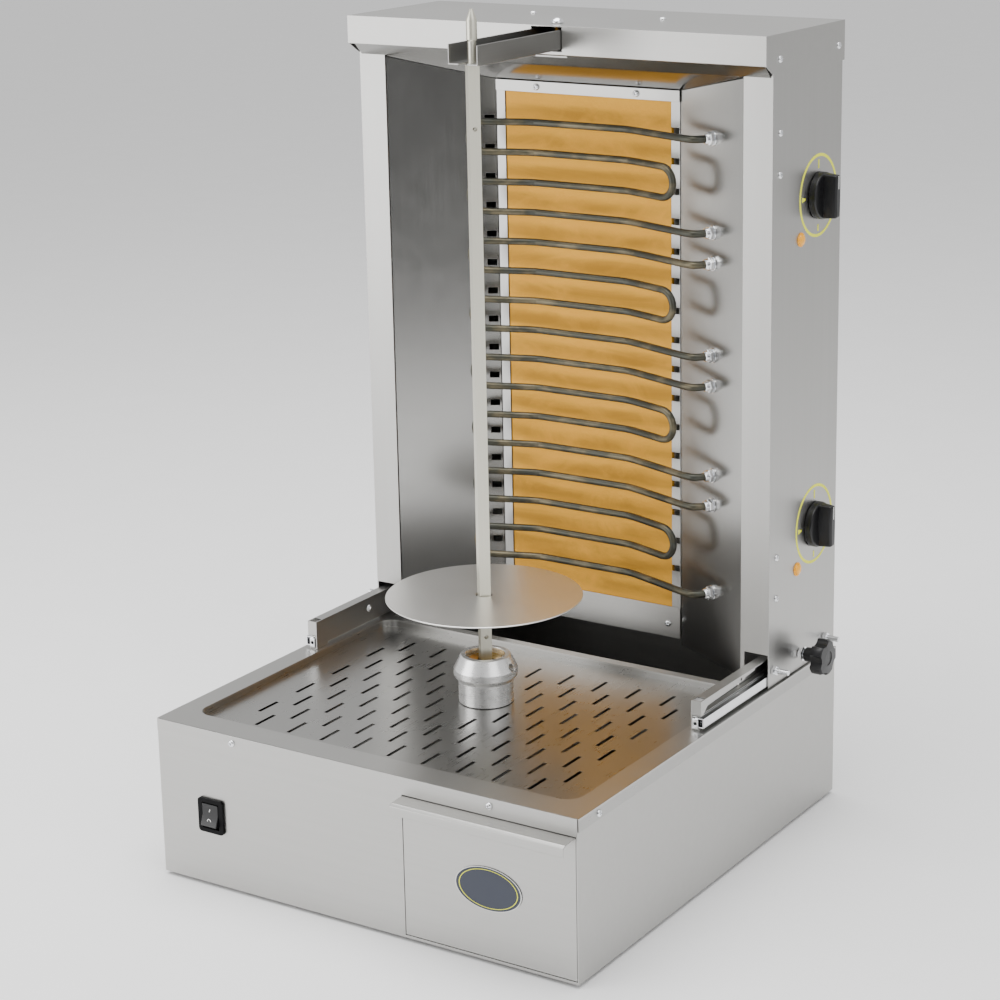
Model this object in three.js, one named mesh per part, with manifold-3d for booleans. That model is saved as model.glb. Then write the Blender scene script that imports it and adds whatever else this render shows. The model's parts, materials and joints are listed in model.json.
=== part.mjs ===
// Vertical electric spit grill: a base with a slotted deck, drip drawer and gear motor, an upright spit
// with its disc, and a radiant cabinet that slides towards the meat on two telescopic rails.
// Millimetres, +Z up, +X to the right of someone facing the front, +Y towards the back.

import * as THREE from 'three';
import { mergeVertices } from 'three/addons/utils/BufferGeometryUtils.js';
import Module from 'manifold-3d';

const wasm = await Module();
wasm.setup();

// ---------------------------------------------------------------- driving dimensions
const sheet = 1.2;              // sheet metal thickness
const gap = 0.3;                // clearance between pieces that touch
const floorGap = 4;             // feet stand this far below the skirt

const baseWidth = 520;
const baseDepth = 554;
const baseHeight = 173;
const bodyHeight = 870;         // skirt to the top of the hood
const cabinetWidth = 514;
const cabinetFront = 395;       // y of the cabinet's front flanges
const hoodFront = 376;          // y of the hood's fascia

const panRim = 25;              // width of the deck's side rims
const panFront = 34;
const panBack = 381;
const panDepth = 8;
const rearOpening = { from: 392, to: 540 };

const panSheet = 0.8;           // the deck's floor is thinner than the rest
const slot = { length: 32.1, width: 4.2, pitchX: 42.5, pitchY: 32.5, rows: 9, firstY: 53.7 };
const hubClearance = 42;        // no slots this close to the spit's axis

const spitY = 236;              // distance of the spit's axis from the front
const spitSide = 12;
const spitTurn = THREE.MathUtils.degToRad(47);
const spitTop = 900;
const pinHeights = { cross: 248, disc: 280 };
const spareHoles = [238, 780];  // heights of the spit's unused pin holes, square to the pins
const discRadius = 105;
const discTop = 284;

const drawer = { left: 55.5, right: 256.8, bottom: 3.6, top: 153.8, depth: 330 };
const lipReach = 22;            // how far the drawer's grip stands out
const switchAt = { x: -190, z: 78 };
const rockerTravel = 20;        // degrees
const rockerPivotY = 4;
const motorHalf = 40;
const glandAt = { x: 240, z: 158 };

const frameHalf = 105;          // half width of the radiant board
const boardBottom = 223;
const boardTop = 787;
const boardY = 456.3;           // front face of the board
const stripHalf = 116;          // half width of the strips that frame the board

const reflectorRear = { x: 117, y: 455 };
const reflectorFront = { x: 222.4, y: 396.8 };
const reflectorBottom = 180;
const ceilingRear = 799.6;
const ceilingBreak = { y: 396, z: 825.2 };
const supportPitch = 32.5;      // height between the openings behind neighbouring passes
const supportTop = 756;
const supportHalf = 3.5;

const barPitch = 33.1;          // height between neighbouring passes of the elements
const barTop = 756.4;
const barsPerElement = 4;
const elementCount = 4;
const tubeRadius = 4;
const passPlan = [[50, 440], [68, 437.5], [112, 421.5]];    // one half of a pass, seen from above
const terminalX = 172;          // where the elements' ends enter the right reflector

const fixingZ = 192;            // height of the rails' bolts and of the clamp knob
const boltPlaces = [405, 527];
const boltEnd = 276;            // the rails' bolts reach this far out on both sides
const clampY = 466;
const railTop = 205;
const railFront = 254;
const railBack = 545;
const dialY = 500;
const dialHeights = { upper: 692, lower: 331 };
const armHalf = 18;
const armBottom = 845.5;
const armTop = 866;
const armFront = 219;
const armBack = 440;
const thumbY = 398;

const knobReach = 36;           // clamp knob, out from the side panel
const glandReach = 14;          // cable gland, out from the back

const skinX = cabinetWidth / 2;             // outer face of the side panels
const skinInside = skinX - sheet;
const sideX = baseWidth / 2;                // outer face of the deck's side flanges
const shellX = sideX - sheet - gap;         // outer face of the base's sides
const panX = sideX - panRim;                // inner face of the pan's side walls
const panFloor = baseHeight - panDepth;
const cabinetBack = baseDepth - 0.5;

const reflectorLength = Math.hypot(reflectorFront.x - reflectorRear.x, reflectorFront.y - reflectorRear.y);
const reflectorRun = {          // one millimetre along the right reflector, from back to front
  x: (reflectorFront.x - reflectorRear.x) / reflectorLength,
  y: (reflectorFront.y - reflectorRear.y) / reflectorLength,
};
const terminalAlong = (terminalX - reflectorRear.x) / reflectorRun.x;
const terminalY = reflectorRear.y + terminalAlong * reflectorRun.y;

// ---------------------------------------------------------------- materials
function finish(colour, roughness, metalness) {
  return new THREE.MeshStandardMaterial({ color: colour, roughness, metalness });
}

const steel = finish(0xb4b2ae, 0.35, 0.9);
const polished = finish(0xc4c2be, 0.15, 1.0);
const zinc = finish(0xcfd0cf, 0.3, 0.9);
const aluminium = finish(0xd2d1cd, 0.25, 0.9);
const brass = finish(0xb8924a, 0.3, 0.9);
const tube = finish(0x55554a, 0.45, 0.7);
const board = finish(0xdeae68, 0.85, 0.0);
const wool = finish(0xe4e1d8, 0.95, 0.0);
const blackPlastic = finish(0x17181a, 0.4, 0.0);
const blackRubber = finish(0x1d1d1d, 0.8, 0.0);
const amber = finish(0xf59a1a, 0.25, 0.0);
const castIron = finish(0x4a4c4e, 0.6, 0.5);
const badgeBlue = finish(0x5a6070, 0.35, 0.2);

// ---------------------------------------------------------------- geometry helpers
function box(x0, x1, y0, y1, z0, z1) {
  const geometry = new THREE.BoxGeometry(x1 - x0, y1 - y0, z1 - z0);
  return geometry.translate((x0 + x1) / 2, (y0 + y1) / 2, (z0 + z1) / 2);
}

function outline(points) {
  return new THREE.Shape(points.map(([u, v]) => new THREE.Vector2(u, v)));
}

function roundedRectangle(x0, x1, y0, y1, radius) {
  const shape = new THREE.Shape();
  shape.absarc(x1 - radius, y0 + radius, radius, -Math.PI / 2, 0);
  shape.absarc(x1 - radius, y1 - radius, radius, 0, Math.PI / 2);
  shape.absarc(x0 + radius, y1 - radius, radius, Math.PI / 2, Math.PI);
  shape.absarc(x0 + radius, y0 + radius, radius, Math.PI, Math.PI * 1.5);
  return shape;
}

function extrude(shape, depth, curveSegments = 6) {
  return new THREE.ExtrudeGeometry(shape, { depth, bevelEnabled: false, curveSegments });
}

// A section drawn in Y and Z, carried along X.
function alongX(shape, x0, x1, curveSegments) {
  const turn = new THREE.Matrix4().makeBasis(
    new THREE.Vector3(0, 1, 0), new THREE.Vector3(0, 0, 1), new THREE.Vector3(1, 0, 0));
  return extrude(shape, x1 - x0, curveSegments).applyMatrix4(turn).translate(x0, 0, 0);
}

// A section drawn in X and Z, carried along Y.
function alongY(shape, y0, y1, curveSegments) {
  return extrude(shape, y1 - y0, curveSegments).rotateX(Math.PI / 2).translate(0, y1, 0);
}

function alongZ(shape, z0, z1, curveSegments) {
  return extrude(shape, z1 - z0, curveSegments).translate(0, 0, z0);
}

function cylinderZ(x, y, z0, z1, radius, sides = 20) {
  const geometry = new THREE.CylinderGeometry(radius, radius, z1 - z0, sides);
  return geometry.rotateX(Math.PI / 2).translate(x, y, (z0 + z1) / 2);
}

function cylinderX(x0, x1, y, z, radius, sides = 20) {
  const geometry = new THREE.CylinderGeometry(radius, radius, Math.abs(x1 - x0), sides);
  return geometry.rotateZ(Math.PI / 2).translate((x0 + x1) / 2, y, z);
}

function cylinderY(x, y0, y1, z, radius, sides = 20) {
  return new THREE.CylinderGeometry(radius, radius, y1 - y0, sides).translate(x, (y0 + y1) / 2, z);
}

// A profile of [radius, height] pairs, listed upwards along its outside, turned about the vertical.
function turned(profile, sides = 32) {
  const points = profile.map(([radius, height]) => new THREE.Vector2(radius, height));
  return new THREE.LatheGeometry(points, sides).rotateX(Math.PI / 2);
}

function toSolid(geometry) {
  const bare = geometry.clone();
  bare.deleteAttribute('normal');
  bare.deleteAttribute('uv');
  const merged = mergeVertices(bare, 1e-4);
  const corners = merged.index.array;
  const triangles = [];
  for (let i = 0; i < corners.length; i += 3) {
    const [a, b, c] = [corners[i], corners[i + 1], corners[i + 2]];
    if (a !== b && b !== c && c !== a) triangles.push(a, b, c);
  }
  return new wasm.Manifold(new wasm.Mesh({
    numProp: 3,
    vertProperties: new Float32Array(merged.attributes.position.array),
    triVerts: new Uint32Array(triangles),
  }));
}

function fromSolid(solid) {
  const mesh = solid.getMesh();
  const geometry = new THREE.BufferGeometry();
  geometry.setAttribute('position', new THREE.BufferAttribute(mesh.vertProperties, 3));
  geometry.setIndex(new THREE.BufferAttribute(mesh.triVerts, 1));
  geometry.computeVertexNormals();
  return geometry;
}

function joined(geometries) {
  return geometries.map(toSolid).reduce((sum, solid) => sum.add(solid));
}

// The geometries in `keep` made one, less all those in `remove`.
function shaped(keep, remove = []) {
  const solid = joined(keep);
  return fromSolid(remove.length ? solid.subtract(joined(remove)) : solid);
}

const model = new THREE.Group();

function addPart(name, geometry, material) {
  const mesh = new THREE.Mesh(geometry, material);
  mesh.name = name;
  model.add(mesh);
  return mesh;
}

// Calls make(name, side) for the left hand (-1) and the right hand (+1).
function bothSides(make) {
  make('left', -1);
  make('right', 1);
}

// A geometry drawn for the right hand, mirrored for the left with its faces turned back outwards.
function handed(geometry, side) {
  if (side > 0) return geometry;
  const solid = toSolid(geometry);
  return fromSolid(solid.mirror([1, 0, 0]));
}

// ---------------------------------------------------------------- base
function ventSlots(x0, z0, columns, rows, y) {
  const slots = [];
  for (let column = 0; column < columns; column += 1) {
    for (let row = 0; row < rows; row += 1) {
      const x = x0 + column * 46;
      const z = z0 + row * 12;
      slots.push(box(x, x + 36, y - 4, y + 4, z, z + 4));
    }
  }
  return slots;
}

function baseShell() {
  const sideTop = baseHeight - sheet - gap;
  const outside = box(-shellX, shellX, 0, baseDepth, 0, sideTop);
  const inside = box(-shellX + sheet, shellX - sheet, sheet, baseDepth - sheet, -1, baseHeight + 1);
  const frontTop = box(-shellX, shellX, 0, sheet, sideTop - 5, baseHeight);
  const drawerHole = box(drawer.left - 0.6, shellX - sheet, -1, sheet + 1, 3, drawer.top + 0.5);
  const switchHole = box(switchAt.x - 13, switchAt.x + 13, -1, 3, switchAt.z - 16.5, switchAt.z + 16.5);
  const glandHole = cylinderY(glandAt.x, baseDepth - 3, baseDepth + 1, glandAt.z, 8);
  const walls = toSolid(outside).subtract(toSolid(inside)).add(toSolid(frontTop));
  const vents = ventSlots(-220, 60, 3, 4, baseDepth);
  return fromSolid(walls.subtract(joined([drawerHole, switchHole, glandHole, ...vents])));
}

function slotPositions() {
  const places = [];
  for (let row = 0; row < slot.rows; row += 1) {
    const staggered = row % 2 === 1;
    const reach = staggered ? 4.5 : 4;
    for (let column = -reach; column <= reach; column += 1) {
      const x = column * slot.pitchX;
      const y = slot.firstY + row * slot.pitchY;
      const middle = y + slot.length / 2;
      const underHub = Math.hypot(x, middle - spitY) < hubClearance;
      if (!underHub) places.push([x, y]);
    }
  }
  return places;
}

function slottedDeck() {
  const wall = sheet;
  const top = box(-sideX, sideX, sheet + gap, baseDepth, baseHeight - sheet, baseHeight);
  const pan = alongZ(roundedRectangle(-panX - wall, panX + wall, panFront - wall, panBack + wall, 19),
    panFloor - panSheet, baseHeight);
  const hollow = alongZ(roundedRectangle(-panX, panX, panFront, panBack, 18), panFloor, baseHeight + 1);
  const rear = box(-panX + 2, panX - 2, rearOpening.from, rearOpening.to, baseHeight - 5, baseHeight + 1);
  const flanges = [-1, 1].map((side) => box(
    side > 0 ? sideX - sheet : -sideX, side > 0 ? sideX : -sideX + sheet,
    sheet + gap, baseDepth, baseHeight - 14, baseHeight - sheet / 2));
  const cuts = slotPositions().map(([x, y]) => box(
    x - slot.width / 2, x + slot.width / 2, y, y + slot.length, panFloor - 3, panFloor + 1));
  const shaftHole = cylinderZ(0, spitY, panFloor - 3, panFloor + 1, 13);
  return shaped([top, pan, ...flanges], [hollow, rear, shaftHole, ...cuts]);
}

function dripFunnel() {
  const y0 = panFront + 10;
  const y1 = panBack - 2;
  const top = panFloor - 5;
  const outer = outline([[-228, top], [-228, 146], [118, 126], [118, 112], [188, 112], [188, 132],
    [228, 144], [228, top]]);
  const inner = outline([[-226.8, top + 1], [-226.8, 147.4], [119.2, 127.4], [119.2, 111], [186.8, 111],
    [186.8, 133], [226.8, 145], [226.8, top + 1]]);
  const collar = cylinderZ(0, spitY, 129, top, 22.2, 20);
  const bore = cylinderZ(0, spitY, 120, top + 1, 21, 20);
  const hollow = toSolid(alongY(inner, y0 + sheet, y1 - sheet));
  return fromSolid(toSolid(alongY(outer, y0, y1)).subtract(hollow).add(toSolid(collar))
    .subtract(toSolid(bore)));
}

function rubberFeet() {
  const places = [[-225, 35], [225, 35], [-225, 519], [225, 519]];
  places.forEach(([x, y], index) => {
    const profile = [[0, -floorGap], [11, -floorGap], [13, 0.7], [0, 0.7]];
    addPart(`rubber_foot_${index + 1}`, turned(profile, 24).translate(x, y, 0), blackRubber);
  });
}

function drive() {
  const legs = [-1, 1].map((side) => box(
    side > 0 ? 47 : -49, side > 0 ? 49 : -47, spitY - motorHalf, spitY + motorHalf, 2.5, 118));
  const plate = box(-49, 49, spitY - motorHalf, spitY + motorHalf, 115.5, 118);
  addPart('motor_bridge', shaped([...legs, plate], [cylinderZ(0, spitY, 110, 120, 9.5)]), steel);

  const gearbox = box(-38, 38, spitY - 33, spitY + 33, 86, 115.2);
  const can = cylinderZ(0, spitY, 28, 90, 30, 28);
  const socket = cylinderZ(0, spitY, 100, 116, 8.4);
  addPart('gear_motor', shaped([gearbox, can], [socket]), castIron);

  addPart('drive_shaft', cylinderZ(0, spitY, 101, panFloor + 0.2, 8, 24), steel);
  const bush = [[8.3, 150], [12.7, 150], [12.7, 160.8], [17.5, 160.8], [17.5, 163.5],
    [12.7, 163.5], [12.7, 165.1], [8.3, 165.1], [8.3, 150]];
  addPart('shaft_bush', turned(bush, 24).translate(0, spitY, 0), brass);
}

function powerSwitch() {
  const { x, z } = switchAt;
  const bezel = alongY(roundedRectangle(x - 16.5, x + 16.5, z - 19, z + 19, 4), -3, -gap, 3);
  const body = box(x - 12.6, x + 12.6, -1, 24, z - 16, z + 16);
  const pocket = box(x - 10.8, x + 10.8, -5, 12, z - 14.3, z + 14.3);
  addPart('switch_housing', shaped([bezel, body], [pocket]), blackPlastic);

  const halfTravel = THREE.MathUtils.degToRad(rockerTravel / 2);
  const section = outline([[-7.5, 0], [-9.8, -12], [-2, -12.2], [3, -6], [3, 6], [-2, 12.2], [-9.8, 12]]);
  const rocker = alongX(section, x - 10.3, x + 10.3).rotateX(-halfTravel);
  addPart('switch_rocker', rocker.translate(0, rockerPivotY, z), blackPlastic);
}

function wiring() {
  addPart('terminal_block', shaped([
    box(-200, -140, 470, 492, 2.5, 12),
    ...[0, 1, 2, 3].map((pole) => box(-198 + pole * 14.5, -185.5 + pole * 14.5, 473, 489, 11, 24)),
  ]), blackPlastic);

  const profile = [[0, -glandReach], [6, -glandReach], [8.5, -glandReach + 3], [8.5, -6],
    [12, -6], [12, -gap], [7.6, -gap], [7.6, 10], [0, 10]];
  const bore = cylinderZ(0, 0, -glandReach - 1, 11, 3.8, 16);
  const gland = shaped([turned(profile, 20)], [bore]);
  addPart('cable_gland', gland.rotateX(Math.PI / 2).translate(glandAt.x, baseDepth, glandAt.z),
    blackPlastic);
}

addPart('base_shell', baseShell(), steel);
addPart('base_floor', box(-shellX + sheet + gap, shellX - sheet - gap, 1.5, 552.5, 1, 2.2), steel);
addPart('slotted_deck', slottedDeck(), polished);
addPart('drip_funnel', dripFunnel(), steel);
rubberFeet();
drive();
powerSwitch();
wiring();

// ---------------------------------------------------------------- drip drawer
function drawerParts() {
  const front = outline([
    [sheet, drawer.bottom], [sheet, drawer.top], [3 - lipReach, 153], [-lipReach, 150.5],
    [-lipReach, 141.5], [sheet - lipReach, 141.5], [sheet - lipReach, 150], [3.6 - lipReach, 151.8],
    [0, 152.4], [0, drawer.bottom]]);
  addPart('drawer_front', alongX(front, drawer.left, drawer.right), steel);

  const tray = { left: 62, right: 250, front: 1.5, bottom: 8, top: 95 };
  const outside = box(tray.left, tray.right, tray.front, drawer.depth, tray.bottom, tray.top);
  const inside = box(tray.left + sheet, tray.right - sheet, tray.front + sheet, drawer.depth - sheet,
    tray.bottom + sheet, tray.top + 1);
  addPart('drawer_tray', shaped([outside], [inside]), steel);

  const badge = new THREE.Shape().absellipse(156.4, 77.3, 39, 23, 0, Math.PI * 2);
  addPart('badge', alongY(badge, -1.1, -gap, 10), badgeBlue);

  const runner = (wallX, footX) => shaped([
    box(Math.min(wallX, wallX + sheet), Math.max(wallX, wallX + sheet), 6, drawer.depth + 8, 2.5, 40),
    box(Math.min(wallX, footX), Math.max(wallX, footX), 6, drawer.depth + 8, 5.8, 7)]);
  addPart('drawer_runner_left', runner(56.5, 70), zinc);
  addPart('drawer_runner_right', runner(255.6, 242), zinc);
}

drawerParts();

// ---------------------------------------------------------------- spit and its drive hub
function atSpit(geometry) {
  return geometry.translate(0, spitY, 0);
}

// A round bar through the spit's axis, square to two of its faces.
function crossBar(z, radius, length, turn = spitTurn) {
  return new THREE.CylinderGeometry(radius, radius, length, 14).rotateZ(Math.PI / 2)
    .rotateZ(turn).translate(0, 0, z);
}

function spitParts() {
  const socketFloor = 184;
  const hubProfile = [[0, panFloor + 0.5], [29.5, panFloor + 0.5], [29.5, 190], [33, 193.5],
    [34.5, 196.5], [34.5, 203], [26.5, 218], [21, 218], [21, 205], [0, 205]];
  const socketHalf = spitSide / 2 + gap;
  const socket = box(-socketHalf, socketHalf, -socketHalf, socketHalf, socketFloor, 206);
  const setScrewHole = cylinderX(24, 40, 0, 200, 4, 16);
  const hub = shaped([turned(hubProfile, 40)], [socket.rotateZ(spitTurn), setScrewHole]);
  addPart('drive_hub', atSpit(hub), aluminium);

  const ring = [[9.3, 205.3], [20.6, 205.3], [20.6, 211], [17, 213.5], [9.3, 211], [9.3, 205.3]];
  addPart('hub_ring', atSpit(turned(ring, 32)), brass);

  const half = spitSide / 2;
  const barTop = armBottom - 1.5;
  const bar = box(-half, half, -half, half, socketFloor + gap, barTop).rotateZ(spitTurn);
  const tip = turned([[0, barTop - 2], [4.4, barTop - 2], [4.4, armTop + 2], [5.6, armTop + 3.5],
    [5.6, spitTop - 11], [1.6, spitTop], [0, spitTop]], 20);
  const holes = [
    ...Object.values(pinHeights).map((z) => crossBar(z, 2.3, 30)),
    ...spareHoles.map((z) => crossBar(z, 2.3, 30, spitTurn - Math.PI / 2))];
  addPart('spit_bar', atSpit(shaped([bar, tip], holes)), steel);

  addPart('cross_pin', atSpit(crossBar(pinHeights.cross, 2, 21)), steel);
  addPart('disc_pin', atSpit(crossBar(pinHeights.disc, 2, 26)), steel);

  const plate = new THREE.Shape().absarc(0, 0, discRadius, 0, Math.PI * 2);
  const hole = box(-half - gap, half + gap, -half - gap, half + gap, 270, 290).rotateZ(spitTurn);
  const disc = shaped([alongZ(plate, discTop - 1.5, discTop, 48)], [hole]);
  addPart('meat_disc', atSpit(disc), polished);
}

spitParts();

// ---------------------------------------------------------------- rails between base and cabinet
function railParts(name, side) {
  const web = { inner: 240.5, outer: 242 };
  const lip = { inner: 251, outer: 252.5 };
  const foot = baseHeight + gap;
  const feet = [[railFront, railFront + 20], [railBack - 40, railBack]];
  const flange = railTop - 1.5;
  const lipShape = outline([[railFront, 189], [railFront + 5, 189], [railFront + 14, 196.5],
    [railFront + 94, 198.5], [railFront + 97, 200.5], [railFront + 118, 201.5], [railFront + 119, flange],
    [railBack, flange], [railBack, railTop], [railFront, railTop]]);
  const bracket = shaped([
    box(web.inner, web.outer, railFront, railBack, 177, railTop),
    box(web.inner, lip.outer, railFront + 12, railBack, flange, railTop),
    alongX(lipShape, lip.inner, lip.outer),
    box(web.inner, lip.outer, railFront, railFront + 1.5, 189, railTop),
    ...feet.map(([y0, y1]) => box(web.inner, web.outer, y0, y1, foot, 178)),
    ...feet.map(([y0, y1]) => box(web.inner, lip.inner, y0, y1, foot, foot + 0.9)),
  ], [cylinderX(235, 247, 354, fixingZ, 4, 16), cylinderX(249, 254, railFront + 88, 201.3, 1.8, 12)]);
  addPart(`rail_bracket_${name}`, handed(bracket, side), steel);

  const channel = { back: web.outer + gap, mouth: 248.5, bottom: 174.6, top: 188.2 };
  const fixed = shaped([
    box(channel.back, channel.back + sheet, railFront, railBack, channel.bottom, channel.top),
    box(channel.back, channel.mouth, railFront, railBack, channel.bottom, channel.bottom + sheet),
    box(channel.back, channel.mouth, railFront, railBack, channel.top - sheet, channel.top)]);
  addPart(`rail_fixed_${name}`, handed(fixed, side), zinc);

  const plate = { inner: 254.2, outer: 255.4 };
  const bolts = boltPlaces.flatMap((y) => [
    cylinderX(plate.inner + 0.4, boltEnd, y, fixingZ, 3, 12),
    cylinderX(skinX + 0.4, skinX + 5.4, y, fixingZ, 5.5, 6)]);
  const moving = shaped([
    box(plate.inner, plate.outer, railFront, railBack, 176.1, 186.7),
    box(plate.inner, plate.outer, 398, 540, 186, 197),
    box(245.6, plate.outer, railFront, railBack, 176.1, 177.3),
    box(245.6, plate.outer, railFront, railBack, 185.5, 186.7),
    ...bolts], [cylinderX(252, 257, clampY, fixingZ, 3.4, 16)]);
  addPart(`rail_moving_${name}`, handed(moving, side), zinc);
}

bothSides(railParts);

// ---------------------------------------------------------------- cabinet
function ceilingHeight(y) {
  const slope = (ceilingBreak.z - ceilingRear) / (reflectorRear.y - ceilingBreak.y);
  return ceilingRear + (reflectorRear.y - y) * slope;
}

function sidePanel(name, side) {
  const flangeInner = 223;
  const top = bodyHeight - sheet - gap;
  const solids = [
    box(skinInside, skinX, cabinetFront, cabinetBack, baseHeight + 0.6, top),
    box(flangeInner, skinX, cabinetFront, cabinetFront + sheet, 211, top),
    box(flangeInner, 228, cabinetFront, cabinetFront + sheet, 186, 212)];
  const holes = boltPlaces.map((y) => cylinderX(250, 260, y, fixingZ, 3.4, 12));
  if (side > 0) {
    holes.push(cylinderX(250, 260, clampY, fixingZ, 3.4, 16));
    Object.values(dialHeights).forEach((z) => {
      holes.push(cylinderX(250, 260, dialY, z, 4.5, 16), cylinderX(250, 260, dialY - 40, z - 41, 6, 16));
    });
  }
  addPart(`side_panel_${name}`, handed(shaped(solids, holes), side), steel);
}

function hood() {
  const half = skinX + sheet + gap;
  const back = baseDepth + 1;
  const top = bodyHeight;
  const profile = outline([[hoodFront, top - 30], [cabinetFront, top - 42], [back, top - 42],
    [back, top], [hoodFront, top]]);
  const inside = box(-half + sheet, half - sheet, hoodFront + sheet, back - sheet, top - 60, top - sheet);
  const notch = box(-armHalf - 0.8, armHalf + 0.8, hoodFront - 1, hoodFront + 3,
    armBottom - 2.4, top - sheet);
  const screwHole = cylinderZ(0, thumbY, top - 5, top + 5, 3.5, 16);
  return shaped([alongX(profile, -half, half)], [inside, notch, screwHole]);
}

function ceilingReflector() {
  const half = 254;
  const lift = 1.26;            // the sheet's thickness, measured upright
  const edge = { y: 378.2, z: 842.5 };
  const section = outline([
    [reflectorRear.y, ceilingRear], [reflectorRear.y, ceilingRear + lift],
    [ceilingBreak.y, ceilingBreak.z + lift], [edge.y, edge.z + lift + 0.8], [edge.y, edge.z],
    [ceilingBreak.y, ceilingBreak.z]]);
  const armPassage = box(-armHalf - 2, armHalf + 2, 370, 385, 836, 850);
  const wings = [-1, 1].map((side) => alongZ(outline([
    [side * 222, ceilingBreak.y - 1.3], [side * 300, ceilingBreak.y - 1.3],
    [side * 300, 460], [side * (reflectorRear.x + 3), 460], [side * (reflectorRear.x + 3), reflectorRear.y],
  ]), 780, 860));
  return shaped([alongX(section, -half, half)], [armPassage, ...wings]);
}

function supportHeights() {
  const count = barsPerElement * elementCount;
  return Array.from({ length: count }, (_, bar) => supportTop - bar * supportPitch);
}

// A flat side reflector. The right one has a hole for each end of the elements, the left one has
// an opening in its rear edge behind each pass.
function sideReflector(name, side) {
  const shape = outline([[0, reflectorBottom], [reflectorLength, reflectorBottom],
    [reflectorLength, ceilingHeight(reflectorFront.y) - 0.5], [0, ceilingRear - 0.5]]);
  const openings = side > 0
    ? terminalHeights().map((z) => new THREE.Path().absarc(terminalAlong, z, 5, 0, Math.PI * 2, true))
    : supportHeights().map((z) => new THREE.Path().setFromPoints([
      [2, z - supportHalf], [2, z + supportHalf], [13, z + supportHalf], [13, z - supportHalf],
    ].map(([u, v]) => new THREE.Vector2(u, v))));
  shape.holes.push(...openings);
  const direction = new THREE.Vector3(reflectorRun.x, reflectorRun.y, 0);
  const up = new THREE.Vector3(0, 0, 1);
  const behind = new THREE.Vector3().crossVectors(direction, up).negate();
  const geometry = extrude(shape, sheet, 4);
  const turn = new THREE.Matrix4().makeBasis(direction, up, behind.clone().negate());
  geometry.applyMatrix4(turn);
  geometry.translate(reflectorRear.x + behind.x * sheet, reflectorRear.y + behind.y * sheet, 0);
  addPart(`side_reflector_${name}`, handed(shaped([geometry]), side), polished);
}

function radiantBack() {
  addPart('radiant_board', box(-frameHalf + gap, frameHalf - gap, boardY, boardY + 6,
    boardBottom - 20, boardTop + 8), board);
  addPart('wool_blanket', box(-frameHalf, frameHalf, boardY + 6.3, boardY + 28, boardBottom, boardTop), wool);
  const stripY = boardY - 2.7;
  addPart('frame_top_strip', box(-stripHalf, stripHalf, stripY, stripY + sheet,
    boardTop, ceilingRear - 0.5), steel);
  addPart('frame_bottom_strip', box(-stripHalf, stripHalf, stripY, stripY + sheet, 187, boardBottom), steel);
  bothSides((name, side) => {
    const heights = side > 0 ? supportHeights() : [];
    const notches = heights.map((z) => box(
      frameHalf - 1, stripHalf - 1, stripY - 3, stripY + 5, z - supportHalf, z + supportHalf));
    const strip = box(frameHalf, stripHalf, stripY + sheet + gap, stripY + 2 * sheet + gap,
      boardBottom - 30, boardTop + 5);
    addPart(`frame_strip_${name}`, handed(shaped([strip], notches), side), steel);
  });
}

function cabinetRear() {
  const back = box(-skinInside + gap, skinInside - gap, cabinetBack - sheet - gap, cabinetBack - gap,
    baseHeight + 1, bodyHeight - sheet - gap);
  const vents = [...ventSlots(60, 700, 3, 5, cabinetBack), ...ventSlots(60, 300, 3, 5, cabinetBack)];
  const railNotches = [-1, 1].map((side) => box(
    side > 0 ? 238 : -260, side > 0 ? 260 : -238, cabinetBack - 5, cabinetBack + 5, 170, railTop + 3));
  addPart('cabinet_back', shaped([back], [...vents, ...railNotches]), steel);
  addPart('cabinet_floor', box(-238, 238, 462, cabinetBack - sheet - 2 * gap, 186, 186 + sheet), steel);
}

// ---------------------------------------------------------------- heating elements
function terminalHeights() {
  const heights = [];
  for (let element = 0; element < elementCount; element += 1) {
    const first = barTop - element * barsPerElement * barPitch;
    heights.push(first, first - (barsPerElement - 1) * barPitch);
  }
  return heights;
}

// A wire through given points, stepped point by point, so that straights take one step each.
class BentWire extends THREE.Curve {
  constructor(points) {
    super();
    this.points = points;
  }

  getUtoTmapping(u) {
    return u;
  }

  getPoint(t, target = new THREE.Vector3()) {
    const place = t * (this.points.length - 1);
    const index = Math.min(Math.floor(place), this.points.length - 2);
    return target.lerpVectors(this.points[index], this.points[index + 1], place - index);
  }
}

function passPoints(z, rightwards) {
  const right = passPlan.map(([x, y]) => new THREE.Vector3(x, y, z));
  const left = passPlan.map(([x, y]) => new THREE.Vector3(-x, y, z)).reverse();
  const points = [...left, ...right];
  return rightwards ? points : points.reverse();
}

function bendPoints(z, side) {
  const [bendReach, bendPlanY] = passPlan.at(-1);
  const radius = barPitch / 2;
  const points = [];
  for (const angle of [30, 60, 90, 120, 150]) {
    const a = THREE.MathUtils.degToRad(angle);
    const out = radius * Math.sin(a);
    points.push(new THREE.Vector3(side * (bendReach + out), bendPlanY - out * 0.3,
      z - radius + radius * Math.cos(a)));
  }
  return points;
}

// From the reflector's hole back to the first pass: square off the reflector, then round to the pass.
function terminalPoints(z) {
  const out = new THREE.Vector3(reflectorRun.y, -reflectorRun.x, 0);
  const at = (distance) => new THREE.Vector3(terminalX, terminalY, z).addScaledVector(out, distance);
  return [at(-18), at(9), at(13).add(new THREE.Vector3(-2.5, 0.3, 0)),
    new THREE.Vector3(152, 409.2, z), new THREE.Vector3(138, 412.3, z)];
}

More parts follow.
